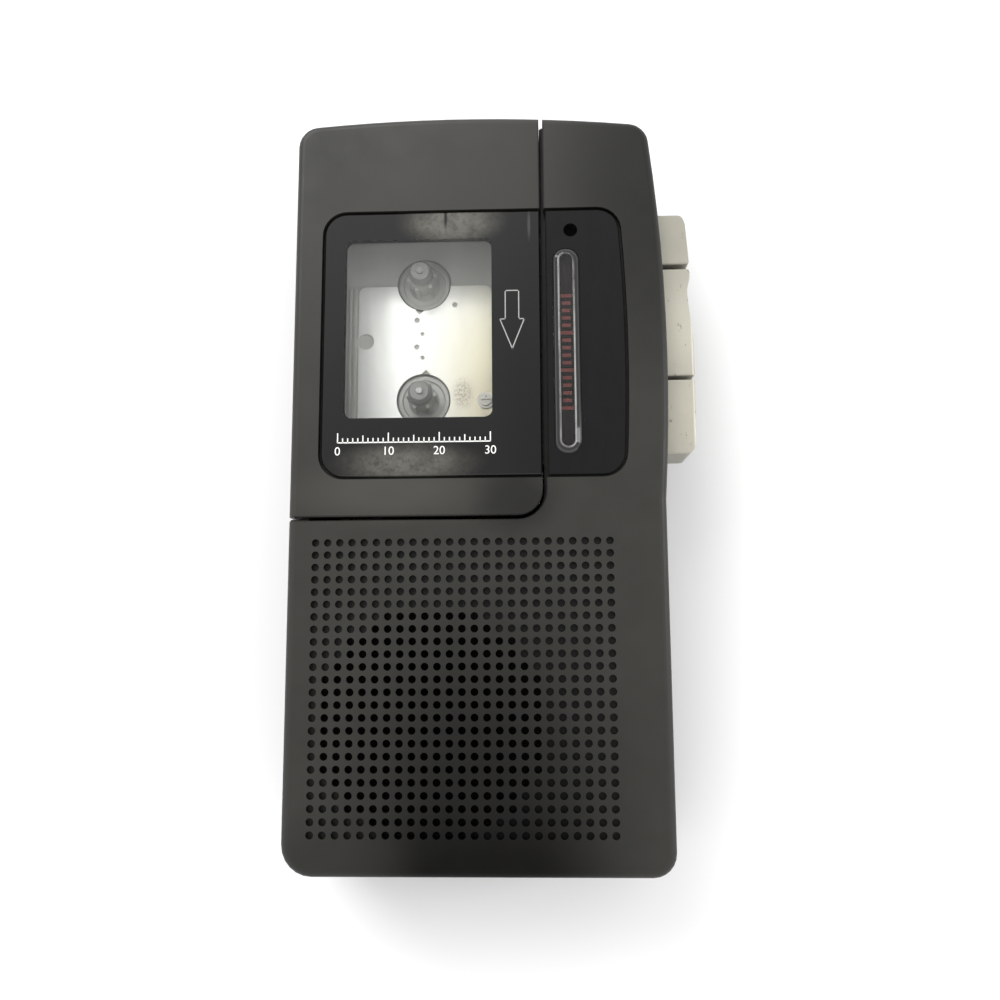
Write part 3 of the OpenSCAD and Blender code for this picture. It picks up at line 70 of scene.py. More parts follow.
class Shader:
    """A Principled material whose textures follow the object's own coordinates."""

    # Sockets of a Mix node that carry colours
    COLOR_A = 6
    COLOR_B = 7
    COLOR_OUT = 2
    # Share of a place's reach within which it has its full strength
    FULL = 0.2

    def __init__(self, name, color, rough, metallic=0.0, specular=0.5):
        self.mat = bpy.data.materials.new(name)
        self.mat.use_nodes = True
        self.tree = self.mat.node_tree
        self.bsdf = self.tree.nodes["Principled BSDF"]
        self.coords = self.add("ShaderNodeTexCoord").outputs["Object"]
        self.rough = rough
        self.set("Base Color", (*color, 1.0))
        self.set("Roughness", rough)
        self.set("Metallic", metallic)
        self.set("Specular IOR Level", specular)

    def add(self, kind, **values):
        node = self.tree.nodes.new(kind)
        for key, value in values.items():
            setattr(node, key, value)
        return node

    def link(self, out, socket):
        self.tree.links.new(out, socket)

    def set(self, name, value):
        self.bsdf.inputs[name].default_value = value

    def feed(self, name, out):
        self.link(out, self.bsdf.inputs[name])

    def place(self, stretch, shift=(0, 0, 0)):
        node = self.add("ShaderNodeMapping")
        node.inputs["Scale"].default_value = stretch
        node.inputs["Location"].default_value = shift
        self.link(self.coords, node.inputs["Vector"])
        return node.outputs["Vector"]

    def noise(self, size_mm, detail=3.0, rough=0.55, stretch=(1, 1, 1)):
        node = self.add("ShaderNodeTexNoise")
        node.inputs["Scale"].default_value = 1.0 / MM / size_mm
        node.inputs["Detail"].default_value = detail
        node.inputs["Roughness"].default_value = rough
        self.link(self.place(stretch), node.inputs["Vector"])
        return node.outputs["Fac"]

    def cells(self, size_mm):
        node = self.add("ShaderNodeTexVoronoi")
        node.inputs["Scale"].default_value = 1.0 / MM / size_mm
        self.link(self.coords, node.inputs["Vector"])
        return node.outputs["Distance"]

    def ramp(self, fac, low, high, from_value=0.0, to_value=1.0):
        node = self.add("ShaderNodeMapRange")
        set_range(node, low, high, from_value, to_value)
        self.link(fac, node.inputs["Value"])
        return node.outputs["Result"]

    def combine(self, operation, a, b):
        node = self.add("ShaderNodeMath", operation=operation)
        self.link(a, node.inputs[0])
        if isinstance(b, float):
            node.inputs[1].default_value = b
        else:
            self.link(b, node.inputs[1])
        return node.outputs[0]

    def times(self, a, b):
        return self.combine("MULTIPLY", a, b)

    def plus(self, a, b):
        return self.combine("ADD", a, b)

    def mix(self, fac, a, b):
        """Mixes two colours, each an (r, g, b) or an output."""
        node = self.add("ShaderNodeMix", data_type="RGBA")
        self.link(fac, node.inputs["Factor"])
        for value, socket in ((a, node.inputs[self.COLOR_A]), (b, node.inputs[self.COLOR_B])):
            if isinstance(value, tuple):
                socket.default_value = (*value, 1.0)
            else:
                self.link(value, socket)
        return node.outputs[self.COLOR_OUT]

    def mottle(self, fac, color, dark, light):
        """A colour that swings between two shares of itself with a pattern."""
        return self.mix(fac, shade(color, dark), shade(color, light))

    def uneven(self, fac, less, more, low=0.3, high=0.7):
        """Lets the roughness swing about its value with a pattern."""
        self.feed("Roughness", self.ramp(fac, low, high, self.rough - less, self.rough + more))

    def axis(self, letter):
        node = self.add("ShaderNodeSeparateXYZ")
        self.link(self.coords, node.inputs["Vector"])
        return node.outputs[letter]

    def vector(self, operation, a, b):
        node = self.add("ShaderNodeVectorMath", operation=operation)
        self.link(a, node.inputs[0])
        node.inputs[1].default_value = b
        return node.outputs["Vector"]

    def length(self, vector):
        node = self.add("ShaderNodeVectorMath", operation="LENGTH")
        self.link(vector, node.inputs[0])
        return node.outputs["Value"]

    def outside(self, middle, half):
        """Distance in mm from a rectangle of half sizes about a middle, seen from above; 0 inside it."""
        away = self.vector("ABSOLUTE", self.vector("SUBTRACT", self.coords, middle), (0, 0, 0))
        past = self.vector("MAXIMUM", self.vector("SUBTRACT", away, half), (0, 0, 0))
        return self.length(self.vector("MULTIPLY", past, (1.0 / MM, 1.0 / MM, 0.0)))

    def band(self, value, low, high, soft=0.05):
        """1 between low and high, 0 outside them."""
        above = self.ramp(value, low - soft, low + soft)
        below = self.ramp(value, high - soft, high + soft, 1.0, 0.0)
        return self.times(above, below)

    def near(self, x, y, reach_x, reach_y):
        """1 at a place on the front seen from above, falling to 0 at its reach, all in mm."""
        stretch = (1.0 / MM / reach_x, 1.0 / MM / reach_y, 0.0)
        away = self.length(self.place(stretch, (-x / reach_x, -y / reach_y, 0.0)))
        return self.ramp(away, self.FULL, 1.0, 1.0, 0.0)

    def bump(self, height, strength, depth_mm):
        node = self.add("ShaderNodeBump")
        node.inputs["Strength"].default_value = strength
        node.inputs["Distance"].default_value = depth_mm * MM
        self.link(height, node.inputs["Height"])
        self.feed("Normal", node.outputs["Normal"])


# Materials. A place is x, y, reach along x and reach along y in mm, on the front seen from above


def plastic(name, color, rough, grain_mm=0.25, depth_mm=0.012, specular=0.5):
    """Moulded plastic: fine grain, faint blotches and an uneven roughness."""
    s = Shader(name, color, rough, specular=specular)
    s.feed("Base Color", s.mottle(s.noise(9.0, detail=4.0), color, dark=0.82, light=1.2))
    s.uneven(s.noise(3.0, detail=4.0, rough=0.6), less=0.06, more=0.07, low=0.25, high=0.75)
    s.bump(s.noise(grain_mm, detail=2.0), strength=0.35, depth_mm=depth_mm)
    return s


def metal(name, color, rough, along=(1, 1, 1), grain_mm=0.5, spots=()):
    """Metal with drawn or turned marks, a noise stretched one way, and spots of another tone."""
    s = Shader(name, color, rough, metallic=1.0)
    marks = s.noise(grain_mm, detail=4.0, rough=0.6, stretch=along)
    base = s.mottle(marks, color, dark=0.86, light=1.1)
    for place, tone in spots:
        base = s.mix(s.near(*place), base, tone)
    s.feed("Base Color", base)
    s.uneven(s.noise(grain_mm * 6, detail=3.0, rough=0.6, stretch=along), less=0.05, more=0.08)
    s.bump(marks, strength=0.25, depth_mm=0.004)
    return s


# Painted light and shade on the housing, lighter and darker areas: a place, and the share of its colour
# there
HOUSING_LIGHT_AND_SHADE = (
    ((-6.0, 48.0, 28.0, 30.0), 1.1),
    ((-16.0, -2.2, 20.0, 6.5), 1.75),
    ((24.0, 46.0, 20.0, 40.0), 0.35),
    ((3.0, -3.5, 9.0, 8.0), 0.4),
    ((-26.0, 52.0, 11.0, 14.0), 0.75),
    ((-24.0, -57.0, 14.0, 10.0), 0.7),
)
# Painted shade towards the lower middle of the housing: two places, and the share of its colour there
LOW_SHADE_AREA = (-2.0, -60.0, 30.0, 58.0)
LOW_SHADE_END = (-2.0, -62.0, 30.0, 16.0)
LOW_SHADE_SHARE = 0.15
SCUFFED_END = (5.0, -52.0, 14.0, 6.0)
SCUFF_COLOR = (0.08, 0.08, 0.075)
SATIN = 0.2
# Gloss where the painted shade darkens the lower middle
LOW_SHADE_SATIN = 0.07
# Colour of the painted shade down in the holes of a perforated top
HOLE_SHADE_COLOR = (0.001, 0.001, 0.001)


def case_plastic(name, color, rough, pit_z=None):
    """Satin charcoal housing with hairline scuffs, and painted light and shade: lighter and darker areas,
    darker towards the lower middle.

    With pit_z, the height of a perforated top, it has painted shade down in the holes.
    """
    s = Shader(name, color, rough, specular=SATIN)
    base = s.mottle(s.noise(14.0, detail=5.0, rough=0.6), color, dark=0.88, light=1.14)
    # Painted shade: darker and less glossy towards the lower middle
    low_shade = s.plus(s.times(s.near(*LOW_SHADE_AREA), 0.75), s.times(s.near(*LOW_SHADE_END), 0.3))
    base = s.mix(low_shade, base, shade(color, LOW_SHADE_SHARE))
    # Painted light and shade: lighter and darker areas of the housing
    for place, share in HOUSING_LIGHT_AND_SHADE:
        base = s.mix(s.near(*place), base, shade(color, share))
    s.feed("Specular IOR Level", s.ramp(low_shade, 0.0, 1.0, SATIN, LOW_SHADE_SATIN))
    scuff = s.ramp(s.noise(1.1, detail=6.0, rough=0.75, stretch=(0.16, 1.0, 1.0)), 0.66, 0.8)
    low_scuff = s.times(scuff, s.near(*SCUFFED_END))
    faint_scuff = s.times(scuff, 0.16)
    base = s.mix(s.plus(low_scuff, faint_scuff), base, SCUFF_COLOR)
    if pit_z is not None:
        # Painted shade down in the holes
        hole_shade = s.ramp(s.axis("Z"), pit_z - 0.5 * MM, pit_z - 0.2 * MM, 0.75, 0.0)
        base = s.mix(hole_shade, base, HOLE_SHADE_COLOR)
    s.feed("Base Color", base)
    s.uneven(s.noise(5.0, detail=5.0, rough=0.65), less=0.06, more=0.08, low=0.25, high=0.75)
    s.bump(s.noise(0.22, detail=2.0), strength=0.35, depth_mm=0.01)
    return s


DUST_COLOR = (0.08, 0.08, 0.08)


def gloss_panel(name, color, rough):
    """Polished dark panel with faint wipe marks and fine dust."""
    s = Shader(name, color, rough, specular=0.1)
    wipe = s.noise(2.4, detail=5.0, rough=0.7, stretch=(1.0, 0.35, 1.0))
    wiped = s.mottle(wipe, color, dark=0.9, light=1.12)
    dust = s.times(s.ramp(s.cells(2.3), 0.035, 0.0), 0.5)
    s.feed("Base Color", s.mix(dust, wiped, DUST_COLOR))
    s.uneven(wipe, less=0.02, more=0.05, low=0.3, high=0.75)
    s.bump(s.noise(6.0, detail=2.0), strength=0.05, depth_mm=0.02)
    return s


# Paler places on the print behind the lid's panel, and how strongly each is paler
PALE_PLACES = (((-6.7, 40.9, 9.5, 5.0), 0.6), ((-13.4, 2.0, 13.0, 4.4), 0.5))
# Painted shadow over the right side of the print: a place
PRINT_SHADOW_SIDE = (7.0, 20.0, 9.0, 44.0)
CRACK = (-7.65, 41.4, 0.4, 2.6)
SCRATCH = (5.5, 40.0, 0.35, 3.2)
PANEL_INK = (0.0075, 0.0075, 0.0072)
PALE_INK = (0.3, 0.29, 0.25)
CRACK_COLOR = (0.002, 0.002, 0.002)
SCRATCH_COLOR = (0.1, 0.1, 0.095)


def printed(s, share):
    """Tone of the dark print: paler in two places, with a painted shadow over its right side, and a crack
    and a scratch at its upper edge.
    """
    ink_tone = shade(PANEL_INK, share)
    base = s.mottle(s.noise(7.0, detail=4.0), ink_tone, dark=0.8, light=1.25)
    # Painted shadow over the print's right side
    base = s.mix(s.near(*PRINT_SHADOW_SIDE), base, shade(ink_tone, 0.4))
    specks = s.ramp(s.noise(0.6, detail=4.0, rough=0.7), 0.45, 0.7, 1.0, 0.6)
    cloud = s.times(specks, s.ramp(s.noise(3.0, detail=4.0, rough=0.6), 0.25, 0.7, 0.55, 1.0))
    for place, strength in PALE_PLACES:
        pale_patch = s.times(s.times(cloud, s.near(*place)), strength)
        base = s.mix(pale_patch, base, shade(PALE_INK, share))
    base = s.mix(s.near(*CRACK), base, CRACK_COLOR)
    return s.mix(s.times(s.near(*SCRATCH), 0.5), base, shade(SCRATCH_COLOR, share))


def panel_ink(name, rough):
    """Dark print behind the clear panel."""
    s = Shader(name, PANEL_INK, rough, specular=0.05)
    s.feed("Base Color", printed(s, 1.0))
    s.uneven(s.noise(2.0), less=0.05, more=0.08)
    return s


PLASTIC_IOR = 1.4
# Share of the print's tone that shows through the panel
THROUGH_PANEL = 0.55
# Window of the lid's panel in mm: corner radius, margin, and the step from its clear edge in to its clear
# tone, which keeps a light rim away
PANE_CORNER = 1.2
PANE_MARGIN = 0.12
PANE_STEP = 0.03


def lid_panel(name, color, rough, middle, half):
    """Polished panel: clear and faintly smeared at the window, dark where it is printed on its back."""
    s = Shader(name, color, rough)
    s.set("IOR", PLASTIC_IOR)
    corner = Vector((PANE_CORNER, PANE_CORNER, 0.0))
    radius = s.outside(middle, half - corner * MM)
    edge = corner.x + PANE_MARGIN
    smear = s.noise(4.0, detail=4.0, rough=0.6, stretch=(1.0, 0.3, 1.0))
    clear = s.mix(s.ramp(smear, 0.35, 0.75), color, shade(color, 0.95))
    clear_tone = s.ramp(radius, edge - 2 * PANE_STEP, edge - PANE_STEP, 1.0, 0.0)
    s.feed("Base Color", s.mix(clear_tone, printed(s, THROUGH_PANEL), clear))
    s.feed("Transmission Weight", s.ramp(radius, edge - PANE_STEP, edge, 1.0, 0.0))
    return s


# Clear bar in mm out from its middle line: rim of the flat top, painted highlight along it, painted
# highlight at the foot
FLAT_TOP = (1.02, 1.1)
TOP_HIGHLIGHT_BAND = (1.1, 1.3)
FOOT_HIGHLIGHT_BAND = (1.72, 1.88)
# Strength of the painted highlight at the foot, the slopes' dark colour, and the colour of the painted
# highlights
FOOT_HIGHLIGHT_SHARE = 0.03
BAR_SLOPE = (0.006, 0.006, 0.006)
BAR_HIGHLIGHT_COLOR = (1.0, 1.0, 0.96)


def clear_bar(name, color, rough, middle, half):
    """Bar with a clear flat top and dark slopes, with painted highlights in lines on the slopes.

    The painted highlight along the top fades out at the upper end and is brighter low on the right.
    """
    s = Shader(name, color, rough)
    s.set("IOR", PLASTIC_IOR)
    radius = s.outside(middle, half)
    flat_top = s.ramp(radius, *FLAT_TOP, 1.0, 0.0)
    upper_end = middle.y + half.y
    # Painted highlights on the slopes: brighter low on the right, fading out at the upper end
    low = s.ramp(s.axis("Y"), upper_end - 12.0 * MM, upper_end, 0.1, -0.06)
    right = s.times(s.ramp(s.axis("X"), middle.x, middle.x + MM), low)
    fade = s.ramp(s.axis("Y"), upper_end, upper_end + 1.2 * MM, 1.0, 0.1)
    top_highlight_strength = s.times(fade, s.ramp(s.noise(2.5, detail=3.0, rough=0.6), 0.3, 0.7, 0.06, 0.14))
    top_highlight = s.times(s.band(radius, *TOP_HIGHLIGHT_BAND), s.plus(top_highlight_strength, right))
    lines = s.plus(top_highlight, s.times(s.band(radius, *FOOT_HIGHLIGHT_BAND), FOOT_HIGHLIGHT_SHARE))
    slopes = s.mix(lines, BAR_SLOPE, BAR_HIGHLIGHT_COLOR)
    tint = s.mix(s.noise(3.0), color, shade(color, 0.95))
    s.feed("Base Color", s.mix(flat_top, slopes, tint))
    s.feed("Transmission Weight", flat_top)
    return s


# Painted light and shade on the record, play and stop key: middle along the side (mm) and share of the
# paint's colour
KEY_LIGHT_AND_SHADE = ((40.0, 0.9), (24.0, 1.34), (10.0, 1.24))
KEY_X = 29.5
KEY_REACH = (16.0, 9.0)


def key_paint(name, color, rough):
    """Champagne silver paint with a fine metal flake, specks of wear, and painted light and shade on each
    key.
    """
    s = Shader(name, color, rough, metallic=0.5)
    base = s.mottle(s.noise(3.5, detail=4.0, rough=0.6), color, dark=1.15, light=1.05)
    # Painted light and shade: each key lighter or darker
    for y, share in KEY_LIGHT_AND_SHADE:
        base = s.mix(s.near(KEY_X, y, *KEY_REACH), base, shade(color, share))
    flake = s.noise(0.16, detail=2.0, rough=0.7)
    base = s.mix(s.times(flake, 0.4), base, shade(color, 0.7))
    specks = s.ramp(s.noise(0.9, detail=4.0, rough=0.7, stretch=(1.0, 0.45, 1.0)), 0.62, 0.7)
    s.feed("Base Color", s.mix(specks, base, shade(color, 0.5)))
    s.uneven(s.noise(2.0, detail=4.0, rough=0.6), less=0.05, more=0.08)
    s.bump(flake, strength=0.3, depth_mm=0.006)
    return s


# Stretch of marks drawn along y
DRAWN_Y = (1.0, 0.06, 1.0)
# Painted shade on the heads' top edge under the lid's seam: a place and its colour
SEAM_SHADE_PLACE = (7.3, 26.0, 1.6, 14.0)
SEAM_SHADE_COLOR = (0.006, 0.006, 0.006)


def tape_head(name, color, rough):
    """Polished head shell, with painted shade along its top edge under the lid's seam."""
    s = Shader(name, color, rough, metallic=1.0)
    marks = s.noise(0.5, detail=4.0, rough=0.6, stretch=DRAWN_Y)
    base = s.mottle(marks, color, dark=0.86, light=1.1)
    # Painted shade along the top edge under the seam
    s.feed("Base Color", s.mix(s.near(*SEAM_SHADE_PLACE), base, SEAM_SHADE_COLOR))
    s.uneven(s.noise(3.0, detail=3.0, rough=0.6), less=0.05, more=0.08)
    s.bump(marks, strength=0.2, depth_mm=0.003)
    return s


WARM_SIDE = (3.0, 18.0, 18.0, 28.0)
WARM_COLOR = (0.83, 0.77, 0.57)
AGED_CORNER = (-0.5, 13.0, 8.0, 9.0)
AGED_COLOR = (0.5, 0.43, 0.32)
STAIN = (-5.7, 15.6, 2.4, 3.6)
STAIN_COLOR = (0.33, 0.28, 0.22)
# Left end of the plate in mm, over which it turns from dull to polished
DULL_END = (-22.0, -16.0)


def bright_plate(name, color, rough):
    """Bright plated deck plate: long rolling marks, dull at the left, warm to the right, with a stain."""
    s = Shader(name, color, rough)
    s.feed("Metallic", s.ramp(s.axis("X"), DULL_END[0] * MM, DULL_END[1] * MM, 0.3, 0.7))
    marks = s.noise(0.5, detail=4.0, rough=0.6, stretch=(1.0, 0.05, 1.0))
    base = s.mottle(marks, color, dark=0.96, light=1.03)
    base = s.mix(s.times(s.near(*WARM_SIDE), 0.95), base, WARM_COLOR)
    base = s.mix(s.times(s.near(*AGED_CORNER), 0.4), base, AGED_COLOR)
    specks = s.ramp(s.noise(0.4, detail=3.0, rough=0.7), 0.42, 0.58, 0.2, 0.75)
    s.feed("Base Color", s.mix(s.times(specks, s.near(*STAIN)), base, STAIN_COLOR))
    s.uneven(s.noise(2.5, detail=4.0, rough=0.6, stretch=(1.0, 0.1, 1.0)), less=0.06, more=0.08)
    s.bump(marks, strength=0.2, depth_mm=0.004)
    return s


# Painted shade on the cap of a reel, in mm down from its top: from full colour to dark
CAP_SHADE_FROM = 3.0
CAP_SHADE_TO = 1.0


def reel_plastic(name, color, rough, top_z):
    """Grey reel with painted shade darkening its cap."""
    s = plastic(name, color, rough)
    base = s.bsdf.inputs["Base Color"].links[0].from_socket
    # Painted shade: the cap darker towards its top
    rubbed = s.ramp(s.axis("Z"), top_z - CAP_SHADE_FROM * MM, top_z - CAP_SHADE_TO * MM)
    s.feed("Base Color", s.mix(rubbed, base, shade(color, 0.42)))
    return s


def rubber(name, color, rough):
    s = Shader(name, color, rough, specular=0.3)
    s.feed("Base Color", s.mottle(s.noise(1.5, detail=4.0), color, dark=0.7, light=1.5))
    s.uneven(s.noise(0.8), less=0.08, more=0.08)
    s.bump(s.noise(0.12, detail=2.0), strength=0.5, depth_mm=0.015)
    return s


def paper(name, color, rough):
    s = Shader(name, color, rough, specular=0.2)
    s.feed("Base Color", s.mottle(s.noise(0.4, detail=5.0, rough=0.7), color, dark=0.6, light=1.6))
    s.bump(s.noise(0.2, detail=4.0, rough=0.7), strength=0.6, depth_mm=0.03)
    return s


def board(name, color, rough):
    """Solder mask over tracks."""
    s = Shader(name, color, rough)
    tracks = s.add("ShaderNodeTexBrick")
    tracks.inputs["Scale"].default_value = 260.0
    tracks.inputs["Mortar Size"].default_value = 0.08
    s.link(s.coords, tracks.inputs["Vector"])
    s.feed("Base Color", s.mix(tracks.outputs["Fac"], color, shade(color, 1.8)))
    s.bump(tracks.outputs["Fac"], strength=0.3, depth_mm=0.03)
    return s


def cell_wrap(name, color, rough):
    """Plain grey wrap of a cell, faintly blotched and wrinkled."""
    s = Shader(name, color, rough, metallic=0.4)
    s.feed("Base Color", s.mottle(s.noise(5.0, detail=3.0), color, dark=0.85, light=1.15))
    s.bump(s.noise(0.6, detail=2.0), strength=0.1, depth_mm=0.01)
    return s


CASE_COLOR = (0.02, 0.0195, 0.0172)
CASE_ROUGH = 0.4
STEEL = (0.5, 0.5, 0.5)
# Margins of the window in the lid's panel, in mm: left and lower, right and upper
PANE_LEFT_LOWER = Vector((3.45, 9.2, 0.0))
PANE_RIGHT_UPPER = Vector((7.65, 4.55, 0.0))
# Spots on bright steel: the screw that shows through the window, and painted shade on the end of the upper
# reel's shaft
WINDOW_SCREW = (-1.9, 14.35, 2.2, 2.2)
WINDOW_SCREW_COLOR = (0.52, 0.5, 0.45)
SHAFT_SHADE_REACH = (3.0, 3.0)
SHAFT_SHADE_SHARE = 0.4

panel_low, panel_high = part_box("lid_window")
pane_low = panel_low + PANE_LEFT_LOWER * MM
pane_high = panel_high - PANE_RIGHT_UPPER * MM
pane_middle = (pane_low + pane_high) / 2
pane_half = (pane_high - pane_low) / 2
bar_low, bar_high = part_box("lamp_bar")
bar_middle = (bar_low + bar_high) / 2
bar_straight = (bar_high.y - bar_low.y - bar_high.x + bar_low.x) / 2
bar_half = Vector((0.0, bar_straight, 0.0))
reel_low, reel_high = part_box("supply_reel")
reel_middle = (reel_low + reel_high) / 2
# Tone of the window's screw, and painted shade on the upper reel's shaft end
steel_spots = (
    ((reel_middle.x / MM, reel_middle.y / MM, *SHAFT_SHADE_REACH), shade(STEEL, SHAFT_SHADE_SHARE)),
    (WINDOW_SCREW, WINDOW_SCREW_COLOR),
)
looks = {
    "case_plastic": case_plastic("case_plastic", CASE_COLOR, CASE_ROUGH),
    "rear_plastic": plastic("rear_plastic", (0.018, 0.018, 0.016), 0.5, specular=0.2),
    "clear_panel": lid_panel("clear_panel", (0.97, 0.98, 0.97), 0.02, pane_middle, pane_half),
    "panel_print": panel_ink("panel_print", 0.5),
    "control_gloss": gloss_panel("control_gloss", (0.0065, 0.0065, 0.0067), 0.24),
    "clear_bar": clear_bar("clear_bar", (0.95, 0.97, 0.95), 0.03, bar_middle, bar_half),
    "red_strip": plastic("red_strip", (0.015, 0.0105, 0.0095), 0.45, specular=0.1),
    "key_silver": key_paint("key_silver", (0.31, 0.298, 0.25), 0.4),
    "spring_steel": metal("spring_steel", (0.62, 0.62, 0.62), 0.28, grain_mm=0.2),
    "sheet_steel": metal("sheet_steel", (0.55, 0.55, 0.55), 0.32, DRAWN_Y),
    "cell_wrap": cell_wrap("cell_wrap", (0.2, 0.21, 0.23), 0.35),
    "black_plastic": plastic("black_plastic", (0.018, 0.018, 0.018), 0.42),
    "black_rubber": rubber("black_rubber", (0.014, 0.014, 0.014), 0.7),
    "pot_body": plastic("pot_body", (0.09, 0.055, 0.026), 0.5),
    "switch_metal": metal("switch_metal", (0.55, 0.56, 0.57), 0.3, DRAWN_Y),
    "speaker_steel": plastic("speaker_steel", (0.008, 0.008, 0.008), 0.55, specular=0.2),
    "mic_felt": paper("mic_felt", (0.006, 0.006, 0.006), 0.9),
    "dark_screw": metal("dark_screw", (0.09, 0.09, 0.09), 0.35, grain_mm=0.3),
    "bright_steel": metal("bright_steel", STEEL, 0.25, grain_mm=0.3, spots=steel_spots),
    "cone_paper": paper("cone_paper", (0.022, 0.02, 0.018), 0.85),
    "board_green": board("board_green", (0.02, 0.09, 0.035), 0.4),
    "chip_black": plastic("chip_black", (0.018, 0.018, 0.018), 0.5),
    "deck_dark": plastic("deck_dark", (0.16, 0.16, 0.155), 0.5),
    "deck_grey": plastic("deck_grey", (0.58, 0.57, 0.54), 0.5),
    "plate_bright": bright_plate("plate_bright", (0.98, 0.97, 0.95), 0.38),
    "reel_grey": reel_plastic("reel_grey", (0.56, 0.555, 0.53), 0.5, reel_high.z),
    "flywheel_metal": metal("flywheel_metal", (0.5, 0.45, 0.36), 0.3, grain_mm=0.4),
    "bush_brass": metal("bush_brass", (0.6, 0.44, 0.2), 0.3, grain_mm=0.3),
    "gear_white": plastic("gear_white", (0.72, 0.7, 0.62), 0.45),
    "head_metal": tape_head("head_metal", (0.7, 0.7, 0.7), 0.15),
    "head_dark": plastic("head_dark", (0.03, 0.03, 0.03), 0.4),
}
for part in frame["record"]["subparts"]:
    mesh = nodes[part["node"]].data
    mesh.materials.clear()
    mesh.materials.append(looks[part["material_slot"]].mat)
grille_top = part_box("speaker_grille")[1].z
grille_plastic = case_plastic("grille_plastic", CASE_COLOR, CASE_ROUGH, grille_top)
nodes["speaker_grille"].data.materials[0] = grille_plastic.mat

INK_GRAIN = {"grain_mm": 0.1, "depth_mm": 0.003}
white_ink = plastic("white_ink", (0.6, 0.6, 0.58), 0.5, **INK_GRAIN)
grey_ink = plastic("grey_ink", (0.24, 0.24, 0.23), 0.5, **INK_GRAIN)
red_ink = plastic("red_ink", (0.2, 0.022, 0.014), 0.45, **INK_GRAIN)


# Pieces


def piece(name, mesh, material, body):
    obj = bpy.data.objects.new(name, mesh)
    bpy.context.scene.collection.objects.link(obj)
    mesh.materials.clear()
    mesh.materials.append(material)
    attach(obj, body)
    return obj


def raised_copy(node, lift):
    """A copy of a node's mesh moved up by lift, so that two faces in one plane don't fight."""
    mesh = nodes[node].data.copy()
    mesh.transform(Matrix.Translation((0.0, 0.0, lift)))
    return mesh


def flat_shapes(name, outlines, z, thick):
    """One mesh of flat prisms, each from an outline of points seen from above."""
    bm = bmesh.new()
    for outline in outlines:
        low = [bm.verts.new((x, y, z)) for x, y in outline]
        high = [bm.verts.new((x, y, z + thick)) for x, y in outline]
        bm.faces.new(high)
        bm.faces.new(low[::-1])
        for i in range(len(outline)):
            j = (i + 1) % len(outline)
            bm.faces.new((low[i], low[j], high[j], high[i]))
    bmesh.ops.recalc_face_normals(bm, faces=bm.faces)
    mesh = bpy.data.meshes.new(name)
    bm.to_mesh(mesh)
    bm.free()
    return mesh


def bar(x0, y0, x1, y1):
    return [(x0, y0), (x1, y0), (x1, y1), (x0, y1)]


def stroke(a, b, width):
    """A straight line of ink from a to b, with square ends."""
    a, b = Vector(a), Vector(b)
    along = (b - a).normalized() * width / 2
    across = Vector((-along.y, along.x))
    corners = (a - along - across, b + along - across, b + along + across, a - along + across)
    return [tuple(c) for c in corners]


def outline_strokes(points, width):
    return [stroke(points[i], points[(i + 1) % len(points)], width) for i in range(len(points))]


# Height of a figure as a share of the font's size
FIGURE_SHARE = 0.7


def numerals(name, text, x, y, z, height, thick):
    """Plain numbers as a mesh lying on the front, centred on x."""
    curve = bpy.data.curves.new(name, "FONT")
    curve.body = text
    curve.size = height / FIGURE_SHARE
    curve.align_x = "CENTER"
    curve.extrude = thick / 2
    maker = bpy.data.objects.new(name + "_maker", curve)
    bpy.context.scene.collection.objects.link(maker)
    bpy.context.view_layer.update()
    mesh = bpy.data.meshes.new_from_object(maker.evaluated_get(bpy.context.evaluated_depsgraph_get()))
    bpy.data.objects.remove(maker)
    bpy.data.curves.remove(curve)
    mesh.transform(Matrix.Translation((x, y, z + thick / 2)))
    return mesh


front_z = panel_high.z
ink = 0.015 * MM

# Rounded edges of the keys and the clear bar: width (mm) and the least angle (degrees) that is rounded
KEY_EDGE = (0.22, 40)
BAR_EDGE = (0.1, 20)
EDGES = {"record_key": KEY_EDGE, "play_key": KEY_EDGE, "stop_key": KEY_EDGE, "lamp_bar": BAR_EDGE}
for node, (width, angle) in EDGES.items():
    bevel = nodes[node].modifiers.new("edges", "BEVEL")
    bevel.width = width * MM
    bevel.segments = 3
    bevel.limit_method = "ANGLE"
    bevel.angle_limit = math.radians(angle)

# Dark print on the back of the lid's clear panel, and the strip under the clear bar
print_lift = 0.03 * MM
mask_copy = raised_copy("lid_mask", print_lift)
panel_print = piece("panel_print", mask_copy, looks["panel_print"].mat, "lid")
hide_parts("lid_mask")
strip_copy = raised_copy("lamp_strip", print_lift)
strip_print = piece("strip_print", strip_copy, looks["red_strip"].mat, "recorder")
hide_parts("lamp_strip")

# Dark strips on the case under the seam beside the lid, and down the upper end: painted shade in the seam
lid_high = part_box("cassette_lid")[1]
seam_shade_x0, seam_shade_x1 = lid_high.x + 0.07 * MM, lid_high.x + 0.45 * MM
seam_shade_y0, seam_shade_y1 = 2.0 * MM, 56.6 * MM
seam_shade_z0, seam_shade_z1 = 20.7 * MM, 21.5 * MM
seam_shade_mesh = flat_shapes("seam_shade_mesh", [bar(seam_shade_x0, seam_shade_y0, seam_shade_x1, seam_shade_y1)], seam_shade_z0, seam_shade_z1 - seam_shade_z0)
piece("seam_shade_strip", seam_shade_mesh, looks["black_rubber"].mat, "recorder")
end_y1 = seam_shade_y1 + 0.7 * MM
end_z0 = 10.0 * MM
end_shade_mesh = flat_shapes("end_shade_mesh", [bar(seam_shade_x0, seam_shade_y1, seam_shade_x1, end_y1)], end_z0, seam_shade_z1 - end_z0)
piece("seam_end_shade_strip", end_shade_mesh, looks["black_rubber"].mat, "recorder")

